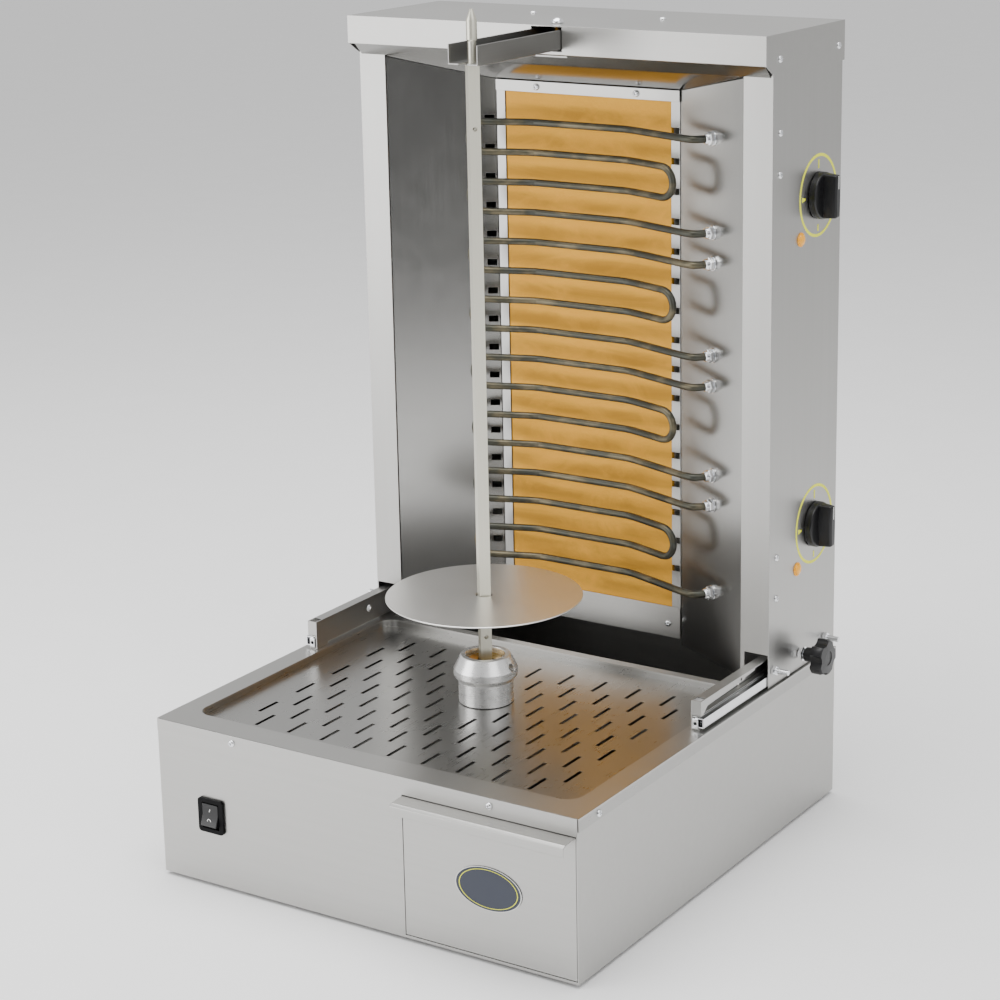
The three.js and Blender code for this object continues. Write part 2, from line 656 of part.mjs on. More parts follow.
function terminalNut(z) {
  const angle = Math.atan2(-reflectorRun.x, reflectorRun.y);
  const nut = new THREE.CylinderGeometry(7.5, 7.5, 6, 6).rotateZ(-Math.PI / 2).rotateZ(angle);
  const offset = 3.4;
  return nut.translate(terminalX + reflectorRun.y * offset, terminalY - reflectorRun.x * offset, z);
}

function heatingElement(index) {
  const top = barTop - index * barsPerElement * barPitch;
  const points = terminalPoints(top);
  for (let pass = 0; pass < barsPerElement; pass += 1) {
    const z = top - pass * barPitch;
    const rightwards = pass % 2 === 1;
    points.push(...passPoints(z, rightwards));
    if (pass < barsPerElement - 1) points.push(...bendPoints(z, rightwards ? 1 : -1));
  }
  const last = top - (barsPerElement - 1) * barPitch;
  points.push(...terminalPoints(last).reverse());
  const section = new THREE.Shape().absarc(0, 0, tubeRadius, 0, Math.PI * 2);
  const wire = new THREE.ExtrudeGeometry(section, {
    steps: points.length - 1, curveSegments: 4, bevelEnabled: false, extrudePath: new BentWire(points),
  });
  const geometry = shaped([wire, terminalNut(top), terminalNut(last)]);
  addPart(`heating_element_${index + 1}`, geometry, tube);
}

// ---------------------------------------------------------------- controls on the right side panel
function controls(name, z) {
  const regulator = shaped([box(221, 255.3, dialY - 19, dialY + 19, z - 19, z + 19)],
    [cylinderX(246, 256, dialY, z, 3.6, 14)]);
  addPart(`heat_regulator_${name}`, regulator, blackPlastic);

  const skirt = cylinderX(skinX + 1, skinX + 9, dialY, z, 25, 32);
  const grip = alongX(roundedRectangle(dialY - 9, dialY + 9, z - 24, z + 24, 5), skinX + 8, skinX + 24, 3);
  const shaft = cylinderX(248, skinX + 2, dialY, z, 3, 14);
  addPart(`heat_knob_${name}`, shaped([skirt, grip, shaft]), blackPlastic);

  const lens = cylinderX(skinX + gap, skinX + 3.8, dialY - 40, z - 41, 7.5, 18);
  const body = cylinderX(236, skinX + 1, dialY - 40, z - 41, 5.4, 14);
  addPart(`pilot_lamp_${name}`, shaped([lens, body]), amber);
}

function clampKnob() {
  const z = fixingZ;
  const lobes = new THREE.Shape();
  const steps = 40;
  for (let step = 0; step < steps; step += 1) {
    const angle = (step / steps) * Math.PI * 2;
    const radius = 17.6 + 2.4 * Math.cos(5 * angle);
    const point = [clampY + radius * Math.cos(angle), z + radius * Math.sin(angle)];
    if (step === 0) lobes.moveTo(...point);
    else lobes.lineTo(...point);
  }
  return shaped([
    cylinderX(242.3, 272, clampY, z, 3, 14),
    cylinderX(skinX + 0.6, skinX + 5, clampY, z, 6, 6),
    cylinderX(skinX + 9, skinX + 24, clampY, z, 8, 20),
    alongX(lobes, skinX + knobReach - 14, skinX + knobReach),
  ]);
}

// ---------------------------------------------------------------- top arm
function armParts() {
  const arm = shaped([
    box(-armHalf, armHalf, armFront, armBack, armBottom, armBottom + 1.5),
    box(-armHalf, -armHalf + 1.5, armFront, armBack, armBottom, armTop),
    box(armHalf - 1.5, armHalf, armFront, armBack, armBottom, armTop),
  ], [box(-5, 5, armFront - 1, spitY, armBottom - 1, armBottom + 3),
    cylinderZ(0, spitY, armBottom - 1, armBottom + 3, 5, 20)]);
  addPart('spit_arm', arm, steel);

  const tipZ = armBottom + 2;
  const top = bodyHeight;
  const profile = [[0, tipZ], [3, tipZ], [3, top + gap], [6.6, top + gap], [6.6, top + 2.2],
    [5.2, top + 4.8], [2.6, top + 6.2], [0, top + 6.4]];
  addPart('thumb_screw', turned(profile, 20).translate(0, thumbY, 0), brass);
}

bothSides(sidePanel);
addPart('hood', hood(), steel);
addPart('ceiling_reflector', ceilingReflector(), polished);
bothSides(sideReflector);
radiantBack();
cabinetRear();
for (let index = 0; index < elementCount; index += 1) heatingElement(index);
controls('upper', dialHeights.upper);
controls('lower', dialHeights.lower);
addPart('clamp_knob', clampKnob(), blackPlastic);
armParts();

// ---------------------------------------------------------------- place the origin
// The origin is on the floor, under the middle of the whole object's box.
const farX = skinX + knobReach;
const farY = baseDepth + glandReach;
model.position.set((boltEnd - farX) / 2, (lipReach - farY) / 2, floorGap);

const grill = new THREE.Group();
grill.name = 'vertical_spit_grill';
grill.add(model);

export default grill;
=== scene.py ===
"""The finished look of a vertical spit grill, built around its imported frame."""

import json
from math import cos, pi, radians, sin

import bpy
from mathutils import Matrix, Vector

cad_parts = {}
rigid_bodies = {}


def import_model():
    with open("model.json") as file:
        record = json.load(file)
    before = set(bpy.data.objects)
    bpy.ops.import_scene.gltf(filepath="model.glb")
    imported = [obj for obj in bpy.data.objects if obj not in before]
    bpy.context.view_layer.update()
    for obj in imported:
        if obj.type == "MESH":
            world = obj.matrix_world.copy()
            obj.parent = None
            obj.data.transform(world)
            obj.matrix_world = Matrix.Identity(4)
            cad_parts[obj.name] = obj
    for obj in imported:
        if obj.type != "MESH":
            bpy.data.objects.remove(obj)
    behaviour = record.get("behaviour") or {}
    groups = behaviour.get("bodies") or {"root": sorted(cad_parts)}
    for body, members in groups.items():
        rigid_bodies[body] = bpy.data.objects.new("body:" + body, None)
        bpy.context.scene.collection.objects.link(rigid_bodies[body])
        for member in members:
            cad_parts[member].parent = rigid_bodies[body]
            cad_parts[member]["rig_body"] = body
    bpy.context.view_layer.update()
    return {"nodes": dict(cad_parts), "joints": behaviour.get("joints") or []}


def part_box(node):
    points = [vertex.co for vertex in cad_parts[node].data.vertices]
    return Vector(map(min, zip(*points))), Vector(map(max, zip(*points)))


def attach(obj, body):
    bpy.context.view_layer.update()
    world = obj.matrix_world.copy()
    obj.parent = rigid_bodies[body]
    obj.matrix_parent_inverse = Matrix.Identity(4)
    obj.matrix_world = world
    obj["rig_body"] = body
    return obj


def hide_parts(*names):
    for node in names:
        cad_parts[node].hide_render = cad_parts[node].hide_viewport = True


bl_info = {
    "name": "Vertical spit grill",
    "version": (1, 0, 0),
    "blender": (4, 5, 0),
    "location": "3D View > Sidebar > Spit Grill",
    "description": "Builds the finished surfaces and small parts of a vertical spit grill",
    "category": "Add Mesh",
}

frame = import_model()
MM = 0.001


def middle(node):
    """The middle of a frame node's box."""
    low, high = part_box(node)
    return (low + high) / 2


# The grill's own corner: the spit's axis, the front of the base and the bottom edge of its skirt.
CORNER = Vector((middle("spit_bar").x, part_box("base_shell")[0].y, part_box("base_shell")[0].z))


def at(x, y, z):
    """A place given in millimetres from the grill's own corner."""
    return CORNER + Vector((x, y, z)) * MM


PANEL_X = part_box("side_panel_right")[1].x       # outer face of the right side panel
HOOD_TOP_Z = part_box("hood")[1].z
RIGHT, FRONT, BACK, UP = Vector((1, 0, 0)), Vector((0, -1, 0)), Vector((0, 1, 0)), Vector((0, 0, 1))


# ---- settings a user would change

def length(name, description, default):
    return bpy.props.FloatProperty(
        name=name, description=description, default=default, min=0, unit="LENGTH", precision=5)


def colour(name, description, default):
    return bpy.props.FloatVectorProperty(
        name=name, description=description, default=default, size=3, min=0, max=1, subtype="COLOR")


class GrillSizes(bpy.types.PropertyGroup):
    """Sizes of the fine shapes that the frame leaves plain."""

    fold: length("Fold radius", "Rounding of the folded sheet metal's edges", 0.0011)
    screw: length("Screw head radius", "Radius of the small pan head screws", 0.0038)
    tube: length("Element radius", "Radius of the heating elements' sheath", 0.004)
    nut: length("Nut width", "Half width across corners of the element nuts", 0.0075)
    dial: length("Dial radius", "Radius of the printed ring round each heat knob", 0.0426)
    dial_line: length("Dial line", "Width of the printed ring's line", 0.0032)


class GrillColours(bpy.types.PropertyGroup):
    """Colours of the finishes."""

    steel: colour("Steel", "Brushed stainless sheet", (0.45, 0.445, 0.43))
    board: colour("Heat board", "Pressed board behind the elements", (1.0, 0.46, 0.055))
    sheath: colour("Element sheath", "Oxidised element tube", (0.062, 0.059, 0.042))
    ink: colour("Dial ink", "Printed dial ring and marks", (0.88, 0.90, 0.03))
    lamp: colour("Pilot lamp", "Lens of the pilot lamps", (0.90, 0.36, 0.0))
    badge: colour("Badge", "Enamel of the oval badge", (0.026, 0.032, 0.052))
    black: colour("Black plastic", "Knobs, switch and clamp knob", (0.003, 0.003, 0.0035))


# ---- materials

class Value:
    """A shader socket that can be used in sums."""

    def __init__(self, finish, socket):
        self.finish = finish
        self.socket = socket

    def sum(self, operation, first, second):
        made = self.finish.node("ShaderNodeMath", {"operation": operation}, {0: first, 1: second})
        return Value(self.finish, made.outputs[0])

    def __add__(self, other):
        return self.sum("ADD", self, other)

    def __radd__(self, other):
        return self.sum("ADD", other, self)

    def __sub__(self, other):
        return self.sum("SUBTRACT", self, other)

    def __rsub__(self, other):
        return self.sum("SUBTRACT", other, self)

    def __mul__(self, other):
        return self.sum("MULTIPLY", self, other)

    def __rmul__(self, other):
        return self.sum("MULTIPLY", other, self)

    def __truediv__(self, other):
        return self.sum("DIVIDE", self, other)

    def __pow__(self, other):
        return self.sum("POWER", self, other)

    def wave(self):
        return self.sum("SINE", self, 0.0)

    def above(self, edge, soft):
        """0 below the edge and 1 above it, with a soft step between."""
        made = self.finish.node(
            "ShaderNodeMapRange", {"interpolation_type": "SMOOTHSTEP"},
            {"Value": self, "From Min": edge - soft, "From Max": edge + soft})
        return Value(self.finish, made.outputs["Result"])


class Finish:
    """A material under construction: one principled surface and what feeds it."""

    def __init__(self, name, **constants):
        self.material = bpy.data.materials.new(name)
        self.material.use_nodes = True
        self.tree = self.material.node_tree
        self.surface = self.tree.nodes["Principled BSDF"]
        for socket, value in constants.items():
            self.feed(self.surface.inputs[socket.replace("_", " ")], value)
        self.coordinates = self.tree.nodes.new("ShaderNodeTexCoord").outputs["Object"]

    def feed(self, socket, value):
        if isinstance(value, Value):
            self.tree.links.new(value.socket, socket)
        elif isinstance(value, bpy.types.NodeSocket):
            self.tree.links.new(value, socket)
        elif socket.type == "RGBA" and len(value) == 3:
            socket.default_value = (*value, 1)
        else:
            socket.default_value = value

    def node(self, kind, settings=None, sockets=None):
        """A node of that kind, with its settings made first and then its sockets fed."""
        made = self.tree.nodes.new(kind)
        for name, value in (settings or {}).items():
            setattr(made, name, value)
        for name, value in (sockets or {}).items():
            self.feed(made.inputs[name], value)
        return made

    def stretched(self, scale):
        made = self.node("ShaderNodeMapping", {}, {"Vector": self.coordinates, "Scale": scale})
        return made.outputs["Vector"]

    def noise(self, stretch, detail=2.0, roughness=0.5, distortion=0.0):
        """Noise with so many features to the metre along X, Y and Z."""
        made = self.node("ShaderNodeTexNoise", {}, {
            "Vector": self.stretched(stretch), "Scale": 1.0, "Detail": detail,
            "Roughness": roughness, "Distortion": distortion})
        return Value(self, made.outputs["Fac"])

    def cells(self, stretch):
        made = self.node("ShaderNodeTexVoronoi", {}, {"Vector": self.stretched(stretch), "Scale": 1.0})
        return Value(self, made.outputs["Distance"])

    def place(self):
        """The X, Y and Z of a point, in metres."""
        made = self.node("ShaderNodeSeparateXYZ", {}, {0: self.coordinates})
        return [Value(self, made.outputs[axis]) for axis in "XYZ"]

    def mix(self, share, first, second):
        """From the first colour to the second as the share goes from 0 to 1."""
        made = self.node("ShaderNodeMix", {"data_type": "RGBA"}, {0: share, 6: first, 7: second})
        return made.outputs[2]

    def bump(self, height, distance, strength=1.0):
        made = self.node("ShaderNodeBump", {}, {
            "Height": height, "Distance": distance, "Strength": strength})
        self.feed(self.surface.inputs["Normal"], made.outputs["Normal"])

    def use(self, **sockets):
        for name, value in sockets.items():
            self.feed(self.surface.inputs[name.replace("_", " ")], value)


def tint(base, factor):
    return tuple(min(1.0, part * factor) for part in base)


def brushed(name, base, grain, roughness, depth=0.00001):
    """Sheet steel brushed along one axis, with faint cloudy handling marks."""
    finish = Finish(name, Metallic=1.0)
    fine, coarse, along = 1100, 160, 3.5
    streaks = finish.noise([along if axis == grain else fine for axis in "XYZ"], 3)
    bands = finish.noise([along / 2 if axis == grain else coarse for axis in "XYZ"], 2)
    clouds = finish.noise((7, 7, 7), 4, 0.6)
    smears = finish.noise((26, 26, 26), 3, 0.65, 1.2)
    share = streaks * 0.45 + bands * 0.3 + clouds * 0.25
    finish.use(
        Base_Color=finish.mix(share, tint(base, 0.90), tint(base, 1.10)),
        Roughness=roughness - 0.10 + streaks * 0.09 + clouds * 0.07 + smears * 0.05)
    finish.bump(streaks, depth)
    return finish.material


def polished(name, base, grain, roughness):
    """Bright rolled steel: nearly a mirror, with hairlines and wiping marks."""
    finish = Finish(name, Metallic=1.0)
    hairlines = finish.noise([5 if axis == grain else 900 for axis in "XYZ"], 2)
    wiping = finish.noise((18, 18, 18), 4, 0.6, 2.0)
    clouds = finish.noise((5, 5, 5), 3)
    finish.use(
        Base_Color=finish.mix(clouds, tint(base, 0.94), tint(base, 1.06)),
        Roughness=roughness - 0.05 + hairlines * 0.04 + wiping * 0.06)
    finish.bump(hairlines, 0.0000015)
    return finish.material


def deck_steel(base):
    """The deck: a bright pan inside brushed rims, with dried droplets on its floor."""
    finish = Finish("deck_steel", Metallic=1.0)
    rim = finish.place()[2].above(at(0, 0, 171).z, 0.001)
    hairlines = finish.noise((900, 6, 900), 2)
    wiping = finish.noise((16, 16, 16), 4, 0.6, 2.2)
    clouds = finish.noise((6, 6, 6), 3)
    spots = 1 - finish.cells((70, 70, 70)).above(0.12, 0.06)
    stains = spots * wiping.above(0.56, 0.05)
    pan = finish.mix(clouds, tint(base, 0.80), tint(base, 0.92))
    finish.use(
        Base_Color=finish.mix(rim, finish.mix(stains * 0.35, pan, tint(base, 0.62)), tint(base, 1.04)),
        Roughness=rim * 0.05 + 0.23 + hairlines * 0.05 + wiping * 0.06 + stains * 0.12)
    finish.bump(hairlines, 0.000002)
    return finish.material


def turned_metal(name, base, roughness, axis_at, metallic):
    """Lathe turned metal, with fine tool rings round the upright axis through axis_at."""
    finish = Finish(name, Metallic=metallic)
    x, y, z = finish.place()
    across = x - axis_at.x
    deep = y - axis_at.y
    radius = (across * across + deep * deep) ** 0.5
    rings = ((radius + z) * 9000.0).wave()
    drift = finish.noise((60, 60, 400), 3)
    finish.use(
        Base_Color=finish.mix(drift, tint(base, 0.92), tint(base, 1.08)),
        Roughness=roughness - 0.05 + drift * 0.12)
    finish.bump(rings * 0.4 + drift, 0.000012)
    return finish.material


def plated(name, base, roughness, dull=0.1):
    """Plated hardware: bright with a slightly uneven, spotted coat."""
    finish = Finish(name, Metallic=1.0)
    coat = finish.noise((180, 180, 180), 4, 0.6)
    spots = finish.noise((900, 900, 900), 2)
    finish.use(
        Base_Color=finish.mix(coat, tint(base, 0.88), tint(base, 1.05)),
        Roughness=roughness + coat * dull + spots * 0.04)
    finish.bump(coat + spots * 0.3, 0.00002)
    return finish.material


def element_sheath(base):
    """Heat stained alloy: dark olive grey with straw and blue blooms and a fine scale."""
    finish = Finish("element_sheath", Metallic=0.75)
    blooms = finish.noise((22, 60, 60), 3, 0.6)
    scale = finish.noise((1400, 1400, 1400), 3, 0.7)
    warm = finish.mix(blooms.above(0.56, 0.12), base, (0.15, 0.128, 0.08))
    dark = finish.mix((1 - blooms).above(0.58, 0.1), warm, (0.06, 0.062, 0.052))
    finish.use(Base_Color=dark, Roughness=0.26 + scale * 0.16 + blooms * 0.08)
    finish.bump(scale, 0.00004)
    return finish.material


def heat_board(base, first_bar, pitch):
    """Pressed mineral board: flaky and ochre, browned by heat and darkened by painted shadow of the elements
    in soft bands where they pass.
    """
    finish = Finish("heat_board", Metallic=0.0, Specular_IOR_Level=0.25)
    z = finish.place()[2]
    flakes = finish.noise((650, 650, 650), 3, 0.7)
    chips = finish.cells((240, 240, 240))
    clouds = finish.noise((11, 11, 16), 4, 0.6, 0.8)
    drifts = finish.noise((5, 5, 34), 3, 0.6, 1.5)
    band = ((z - first_bar) * (2 * pi / pitch)).wave() * 0.5 + 0.5
    # darker bands at the element heights: partly heat scorch, partly painted shadow of the elements on the
    # board
    scorch_and_shadow = (band * 0.45 + drifts * 0.75).above(0.66, 0.26) * clouds.above(0.42, 0.18)
    folds = finish.noise((7, 7, 15), 1, 0.4, 0.5)
    pale = finish.mix(flakes, tint(base, 0.90), tint(base, 1.12))
    mottled = finish.mix(clouds.above(0.55, 0.25) * 0.45, pale, tint(base, 1.18))
    finish.use(
        Base_Color=finish.mix(scorch_and_shadow * 0.7, mottled, tint(base, 0.45)),
        Roughness=0.78 + flakes * 0.16)
    finish.bump(folds + flakes * 0.03 + chips * 0.03, 0.010)
    return finish.material


def wool():
    """Felted mineral fibre."""
    finish = Finish("mineral_wool", Metallic=0.0, Specular_IOR_Level=0.1)
    fibres = finish.noise((900, 900, 260), 4, 0.7, 1.0)
    tufts = finish.noise((60, 60, 60), 3)
    finish.use(
        Base_Color=finish.mix(fibres, (0.62, 0.59, 0.50), (0.82, 0.80, 0.72)),
        Roughness=0.9 + tufts * 0.1)
    finish.bump(fibres + tufts, 0.0006)
    return finish.material


def moulded(name, base, roughness, grain=0.00004, coat=0.0, sheen=0.5):
    """Moulded plastic or rubber, with a fine spark grain and a few handling marks."""
    finish = Finish(name, Metallic=0.0, Specular_IOR_Level=sheen, Coat_Weight=coat, Coat_Roughness=0.15)
    spark = finish.noise((2200, 2200, 2200), 2, 0.6)
    wear = finish.noise((90, 90, 90), 4, 0.65, 1.0)
    finish.use(
        Base_Color=finish.mix(wear, tint(base, 0.85), tint(base, 1.35)),
        Roughness=roughness - 0.05 + wear * 0.14)
    finish.bump(spark, grain)
    return finish.material


def lamp_lens(base):
    """Clear amber plastic with a glow from the bulb behind it."""
    finish = Finish("amber_lens", Metallic=0.0, IOR=1.49, Coat_Weight=0.2, Coat_Roughness=0.05)
    swirl = finish.noise((220, 220, 220), 2)
    colour_over = finish.mix(swirl, tint(base, 0.9), (0.95, 0.44, 0.01))
    finish.use(Base_Color=colour_over, Roughness=0.18 + swirl * 0.08,
               Emission_Color=colour_over, Emission_Strength=0.15)
    return finish.material


def enamel(name, base, roughness, fleck):
    """Stoved enamel or printed ink."""
    finish = Finish(name, Metallic=0.0)
    orange_peel = finish.noise((500, 500, 500), 2)
    cloud = finish.noise((40, 40, 40), 3)
    finish.use(Base_Color=finish.mix(cloud, tint(base, 1 - fleck), tint(base, 1 + fleck)),
               Roughness=roughness + cloud * 0.1)
    finish.bump(orange_peel, 0.00002)
    return finish.material


def cast_paint():
    """Grey hammered paint over a casting."""
    finish = Finish("cast_paint", Metallic=0.35)
    hammer = finish.cells((160, 160, 160))
    finish.use(Base_Color=finish.mix(hammer, (0.075, 0.08, 0.085), (0.13, 0.135, 0.14)),
               Roughness=0.42 + hammer * 0.2)
    finish.bump(hammer, 0.0003)
    return finish.material


MATERIALS = {}


def make_materials(colours):
    steel = tuple(colours.steel)
    MATERIALS.update({
        "steel_x": brushed("steel_brushed_across", steel, "X", 0.34),
        "steel_y": brushed("steel_brushed_deep", steel, "Y", 0.34),
        "steel_z": brushed("steel_brushed_upright", steel, "Z", 0.34),
        "reflector": polished("reflector_steel", tint(steel, 1.0), "Z", 0.23),
        # painted shade: the ceiling reflector's steel is darkened to 0.6 to stand for the dim hollow under
        # the hood
        "ceiling": polished("ceiling_steel", tint(steel, 0.6), "X", 0.19),
        "disc": polished("disc_steel", tint(steel, 1.75), "X", 0.36),
        "spit": brushed("spit_steel", (0.70, 0.68, 0.58), "Z", 0.38),
        # painted shade: the arm's steel is darkened to 0.75 to stand for the shade under the hood
        "arm": brushed("arm_steel", tint(steel, 0.75), "Y", 0.32),
        "deck": deck_steel(steel),
        "zinc": plated("zinc_plate", (0.62, 0.62, 0.60), 0.26),
        "oiled": plated("oiled_steel", (0.12, 0.115, 0.105), 0.34),
        "nut": plated("bright_plate", (0.86, 0.87, 0.89), 0.12, 0.08),
        "hub": turned_metal("turned_aluminium", (0.95, 0.945, 0.93), 0.27, at(0, 236, 0), 0.85),
        "brass": plated("turned_brass", (0.60, 0.40, 0.14), 0.22),
        "sheath": element_sheath(tuple(colours.sheath)),
        "board": heat_board(tuple(colours.board), BARS[0], BAR_PITCH),
        "wool": wool(),
        "black": moulded("black_plastic", tuple(colours.black), 0.40, sheen=0.08),
        "knob": moulded("knob_plastic", tint(tuple(colours.black), 1.3), 0.32, 0.00003, 0.1, 0.4),
        "rubber": moulded("black_rubber", (0.02, 0.02, 0.02), 0.7, 0.00008),
        "lamp": lamp_lens(tuple(colours.lamp)),
        "ink": enamel("dial_ink", tuple(colours.ink), 0.45, 0.06),
        "white_ink": enamel("white_ink", (0.8, 0.8, 0.78), 0.5, 0.04),
        "badge": enamel("badge_enamel", tuple(colours.badge), 0.42, 0.12),
        "cast": cast_paint(),
    })


# ---- modelling helpers

def nothing_selected():
    if bpy.context.object and bpy.context.object.mode != "OBJECT":
        bpy.ops.object.mode_set(mode="OBJECT")
    bpy.ops.object.select_all(action="DESELECT")


def only(piece):
    nothing_selected()
    piece.select_set(True)
    bpy.context.view_layer.objects.active = piece


def edit(piece):
    only(piece)
    bpy.ops.object.mode_set(mode="EDIT")
    bpy.ops.mesh.select_all(action="SELECT")


def object_mode():
    bpy.ops.object.mode_set(mode="OBJECT")


def settle(piece):
    """Puts a piece's place, turn and scale into its mesh."""
    only(piece)
    bpy.ops.object.transform_apply(location=True, rotation=True, scale=True)
    return piece


def apply_modifier(piece, kind, **settings):
    only(piece)
    modifier = piece.modifiers.new(kind.title(), kind)
    for name, value in settings.items():
        setattr(modifier, name, value)
    bpy.ops.object.modifier_apply(modifier=modifier.name)


def smooth(piece, angle=32):
    """Smooth shading that leaves the flat faces flat."""
    only(piece)
    bpy.ops.object.shade_smooth_by_angle(angle=radians(angle))
    apply_modifier(piece, "WEIGHTED_NORMAL", keep_sharp=True, weight=100)
    return piece


def eased(piece, width, segments=2, angle=34):
    """Rounds the sharp edges of a piece."""
    apply_modifier(piece, "BEVEL", width=width, segments=segments, limit_method="ANGLE",
                   angle_limit=radians(angle), harden_normals=False)
    return smooth(piece)


def finished(piece, body, slot, material, *nodes):
    """Gives a piece its material and its body, and hides the frame nodes that it stands for; the slot is not
    used.
    """
    piece.data.materials.clear()
    piece.data.materials.append(MATERIALS[material])
    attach(piece, body)
    if nodes:
        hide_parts(*nodes)
    return piece


def taken(piece, name):
    piece.name = name
    piece.data.name = name
    return piece


def facing(foot, direction):
    """The matrix that stands a shape on a foot with its top towards a direction."""
    turn = Vector(direction).to_track_quat("Z", "Y").to_matrix().to_4x4()
    return Matrix.Translation(Vector(foot)) @ turn


def scaled(rows, lift=0):
    """A profile given in millimetres, raised by lift."""
    return [(radius * MM, (height + lift) * MM) for radius, height in rows]


def block(name, low, high):
    """A box between two corners."""
    nothing_selected()
    low, high = Vector(low), Vector(high)
    bpy.ops.mesh.primitive_cube_add(size=1, location=(low + high) / 2)
    piece = taken(bpy.context.object, name)
    piece.scale = high - low
    return settle(piece)


def turned(name, profile, foot=(0, 0, 0), axis=(0, 0, 1), sides=64, hollow=False):
    """A round piece drawn up ring by ring from its (radius, height) profile, then set on its foot."""
    nothing_selected()
    bpy.ops.mesh.primitive_circle_add(
        vertices=sides, radius=profile[0][0], fill_type="NOTHING" if hollow else "NGON",
        location=(0, 0, profile[0][1]))
    piece = settle(taken(bpy.context.object, name))
    edit(piece)
    for (radius, height), (next_radius, next_height) in zip(profile, profile[1:]):
        bpy.ops.mesh.extrude_region_move(
            TRANSFORM_OT_translate={"value": (0, 0, next_height - height)})
        factor = next_radius / radius
        bpy.ops.transform.resize(value=(factor, factor, 1), center_override=(0, 0, 0))
    bpy.ops.mesh.select_all(action="SELECT")
    if hollow:
        bpy.ops.mesh.remove_doubles(threshold=1e-6)
    bpy.ops.mesh.normals_make_consistent(inside=False)
    object_mode()
    piece.matrix_world = facing(foot, axis)
    return smooth(settle(piece))


def rod(name, radius, start, end, sides=32):
    start, end = Vector(start), Vector(end)
    span = end - start
    return turned(name, [(radius, 0), (radius, span.length)], start, span, sides)


def cut(piece, *tools):
    """Cuts the tools' shapes out of a piece."""
    for tool in tools:
        apply_modifier(piece, "BOOLEAN", operation="DIFFERENCE", object=tool, solver="EXACT")
        bpy.data.objects.remove(tool)
    return piece


def welded(piece, *others):
    """Makes overlapping shapes one skin."""
    for other in others:
        apply_modifier(piece, "BOOLEAN", operation="UNION", object=other, solver="EXACT")
        bpy.data.objects.remove(other)
    return piece


def grouped(name, pieces):
    """Several shells kept as one object."""
    nothing_selected()
    for piece in pieces:
        piece.select_set(True)
    bpy.context.view_layer.objects.active = pieces[0]
    bpy.ops.object.join()
    return taken(bpy.context.object, name)


def twin(source, name, matrix):
    """A copy with its own mesh, moved by a matrix."""
    piece = bpy.data.objects.new(name, source.data.copy())
    piece.data.name = name
    bpy.context.scene.collection.objects.link(piece)
    piece.data.transform(matrix)
    return piece


def copied(node):
    """A merged copy of a frame node's mesh, with its flat faces whole again."""
    piece = bpy.data.objects.new(node + "_skin", frame["nodes"][node].data.copy())
    piece.data.name = piece.name
    bpy.context.scene.collection.objects.link(piece)
    only(piece)
    if piece.data.has_custom_normals:
        bpy.ops.mesh.customdata_custom_splitnormals_clear()
    edit(piece)
    bpy.ops.mesh.remove_doubles(threshold=2e-6)
    bpy.ops.mesh.dissolve_limited(angle_limit=radians(0.3))
    object_mode()
    return piece


def refined(node, slot, material, edge, segments=2):
    """A frame node's shape with its edges rounded, standing for the node."""
    piece = eased(copied(node), edge, segments)
    return finished(piece, frame["nodes"][node]["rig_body"], slot, material, node)


def poured(name, points, radius):
    """A round bar along a list of places."""
    curve = bpy.data.curves.new(name, "CURVE")
    curve.dimensions = "3D"
    curve.bevel_depth = radius
    curve.bevel_resolution = 4
    curve.use_fill_caps = True
    spline = curve.splines.new("POLY")
    spline.points.add(len(points) - 1)
    for point, place in zip(spline.points, points):
        point.co = (*place, 1)
    piece = bpy.data.objects.new(name, curve)
    bpy.context.scene.collection.objects.link(piece)
    only(piece)
    bpy.ops.object.convert(target="MESH")
    piece = taken(bpy.context.object, name)
    edit(piece)
    bpy.ops.mesh.remove_doubles(threshold=1e-7)
    bpy.ops.mesh.normals_make_consistent(inside=False)
    object_mode()
    return smooth(piece, 50)


# ---- where the elements run

ELEMENTS = [f"heating_element_{number}" for number in (1, 2, 3, 4)]
PASSES = 4


def threaded(radius, reach, pitch=0.001):
    """The profile of a threaded stem, its ridges drawn as rings."""
    profile = [(radius - 0.0004, 0)]
    for ridge in range(int(reach / pitch) - 1):
        profile.append((radius, (ridge + 0.6) * pitch))
        profile.append((radius - 0.00045, (ridge + 1.1) * pitch))
    profile.append((radius - 0.0004, reach))
    return profile


def bar_heights():
    """The height of every pass, from the top down, and the distance between them."""
    heights = []
    for node in ELEMENTS:
        low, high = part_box(node)
        nut_half = 7.5 * MM * cos(radians(30))
        top, bottom = high.z - 7.5 * MM, low.z + 7.5 * MM
        if (top - bottom) < 0.09:
            top, bottom = high.z - nut_half, low.z + nut_half
        pitch = (top - bottom) / (PASSES - 1)
        heights.extend(top - index * pitch for index in range(PASSES))
    return heights, pitch


BARS, BAR_PITCH = bar_heights()
TERMINAL_X = 172        # where the elements' ends enter the right reflector
REFLECTOR_REAR = Vector((117, 455, 0))
REFLECTOR_FRONT = Vector((222.4, 396.8, 0))
REFLECTOR_RUN = (REFLECTOR_FRONT - REFLECTOR_REAR).normalized()
REFLECTOR_OUT = Vector((REFLECTOR_RUN.y, -REFLECTOR_RUN.x, 0))
TERMINAL = REFLECTOR_REAR + REFLECTOR_RUN * ((TERMINAL_X - REFLECTOR_REAR.x) / REFLECTOR_RUN.x)
END_PLAN = [(-50, 440), (0, 440), (50, 440), (59, 439.3), (68, 437.2), (90, 429.5), (112, 421.5)]
LEAD_PLAN = [(126, 416.4), (139, 411.6), (150, 408.6), (159, 408.2)]
BEND_REACH = 112
BEND_Y = 421.5


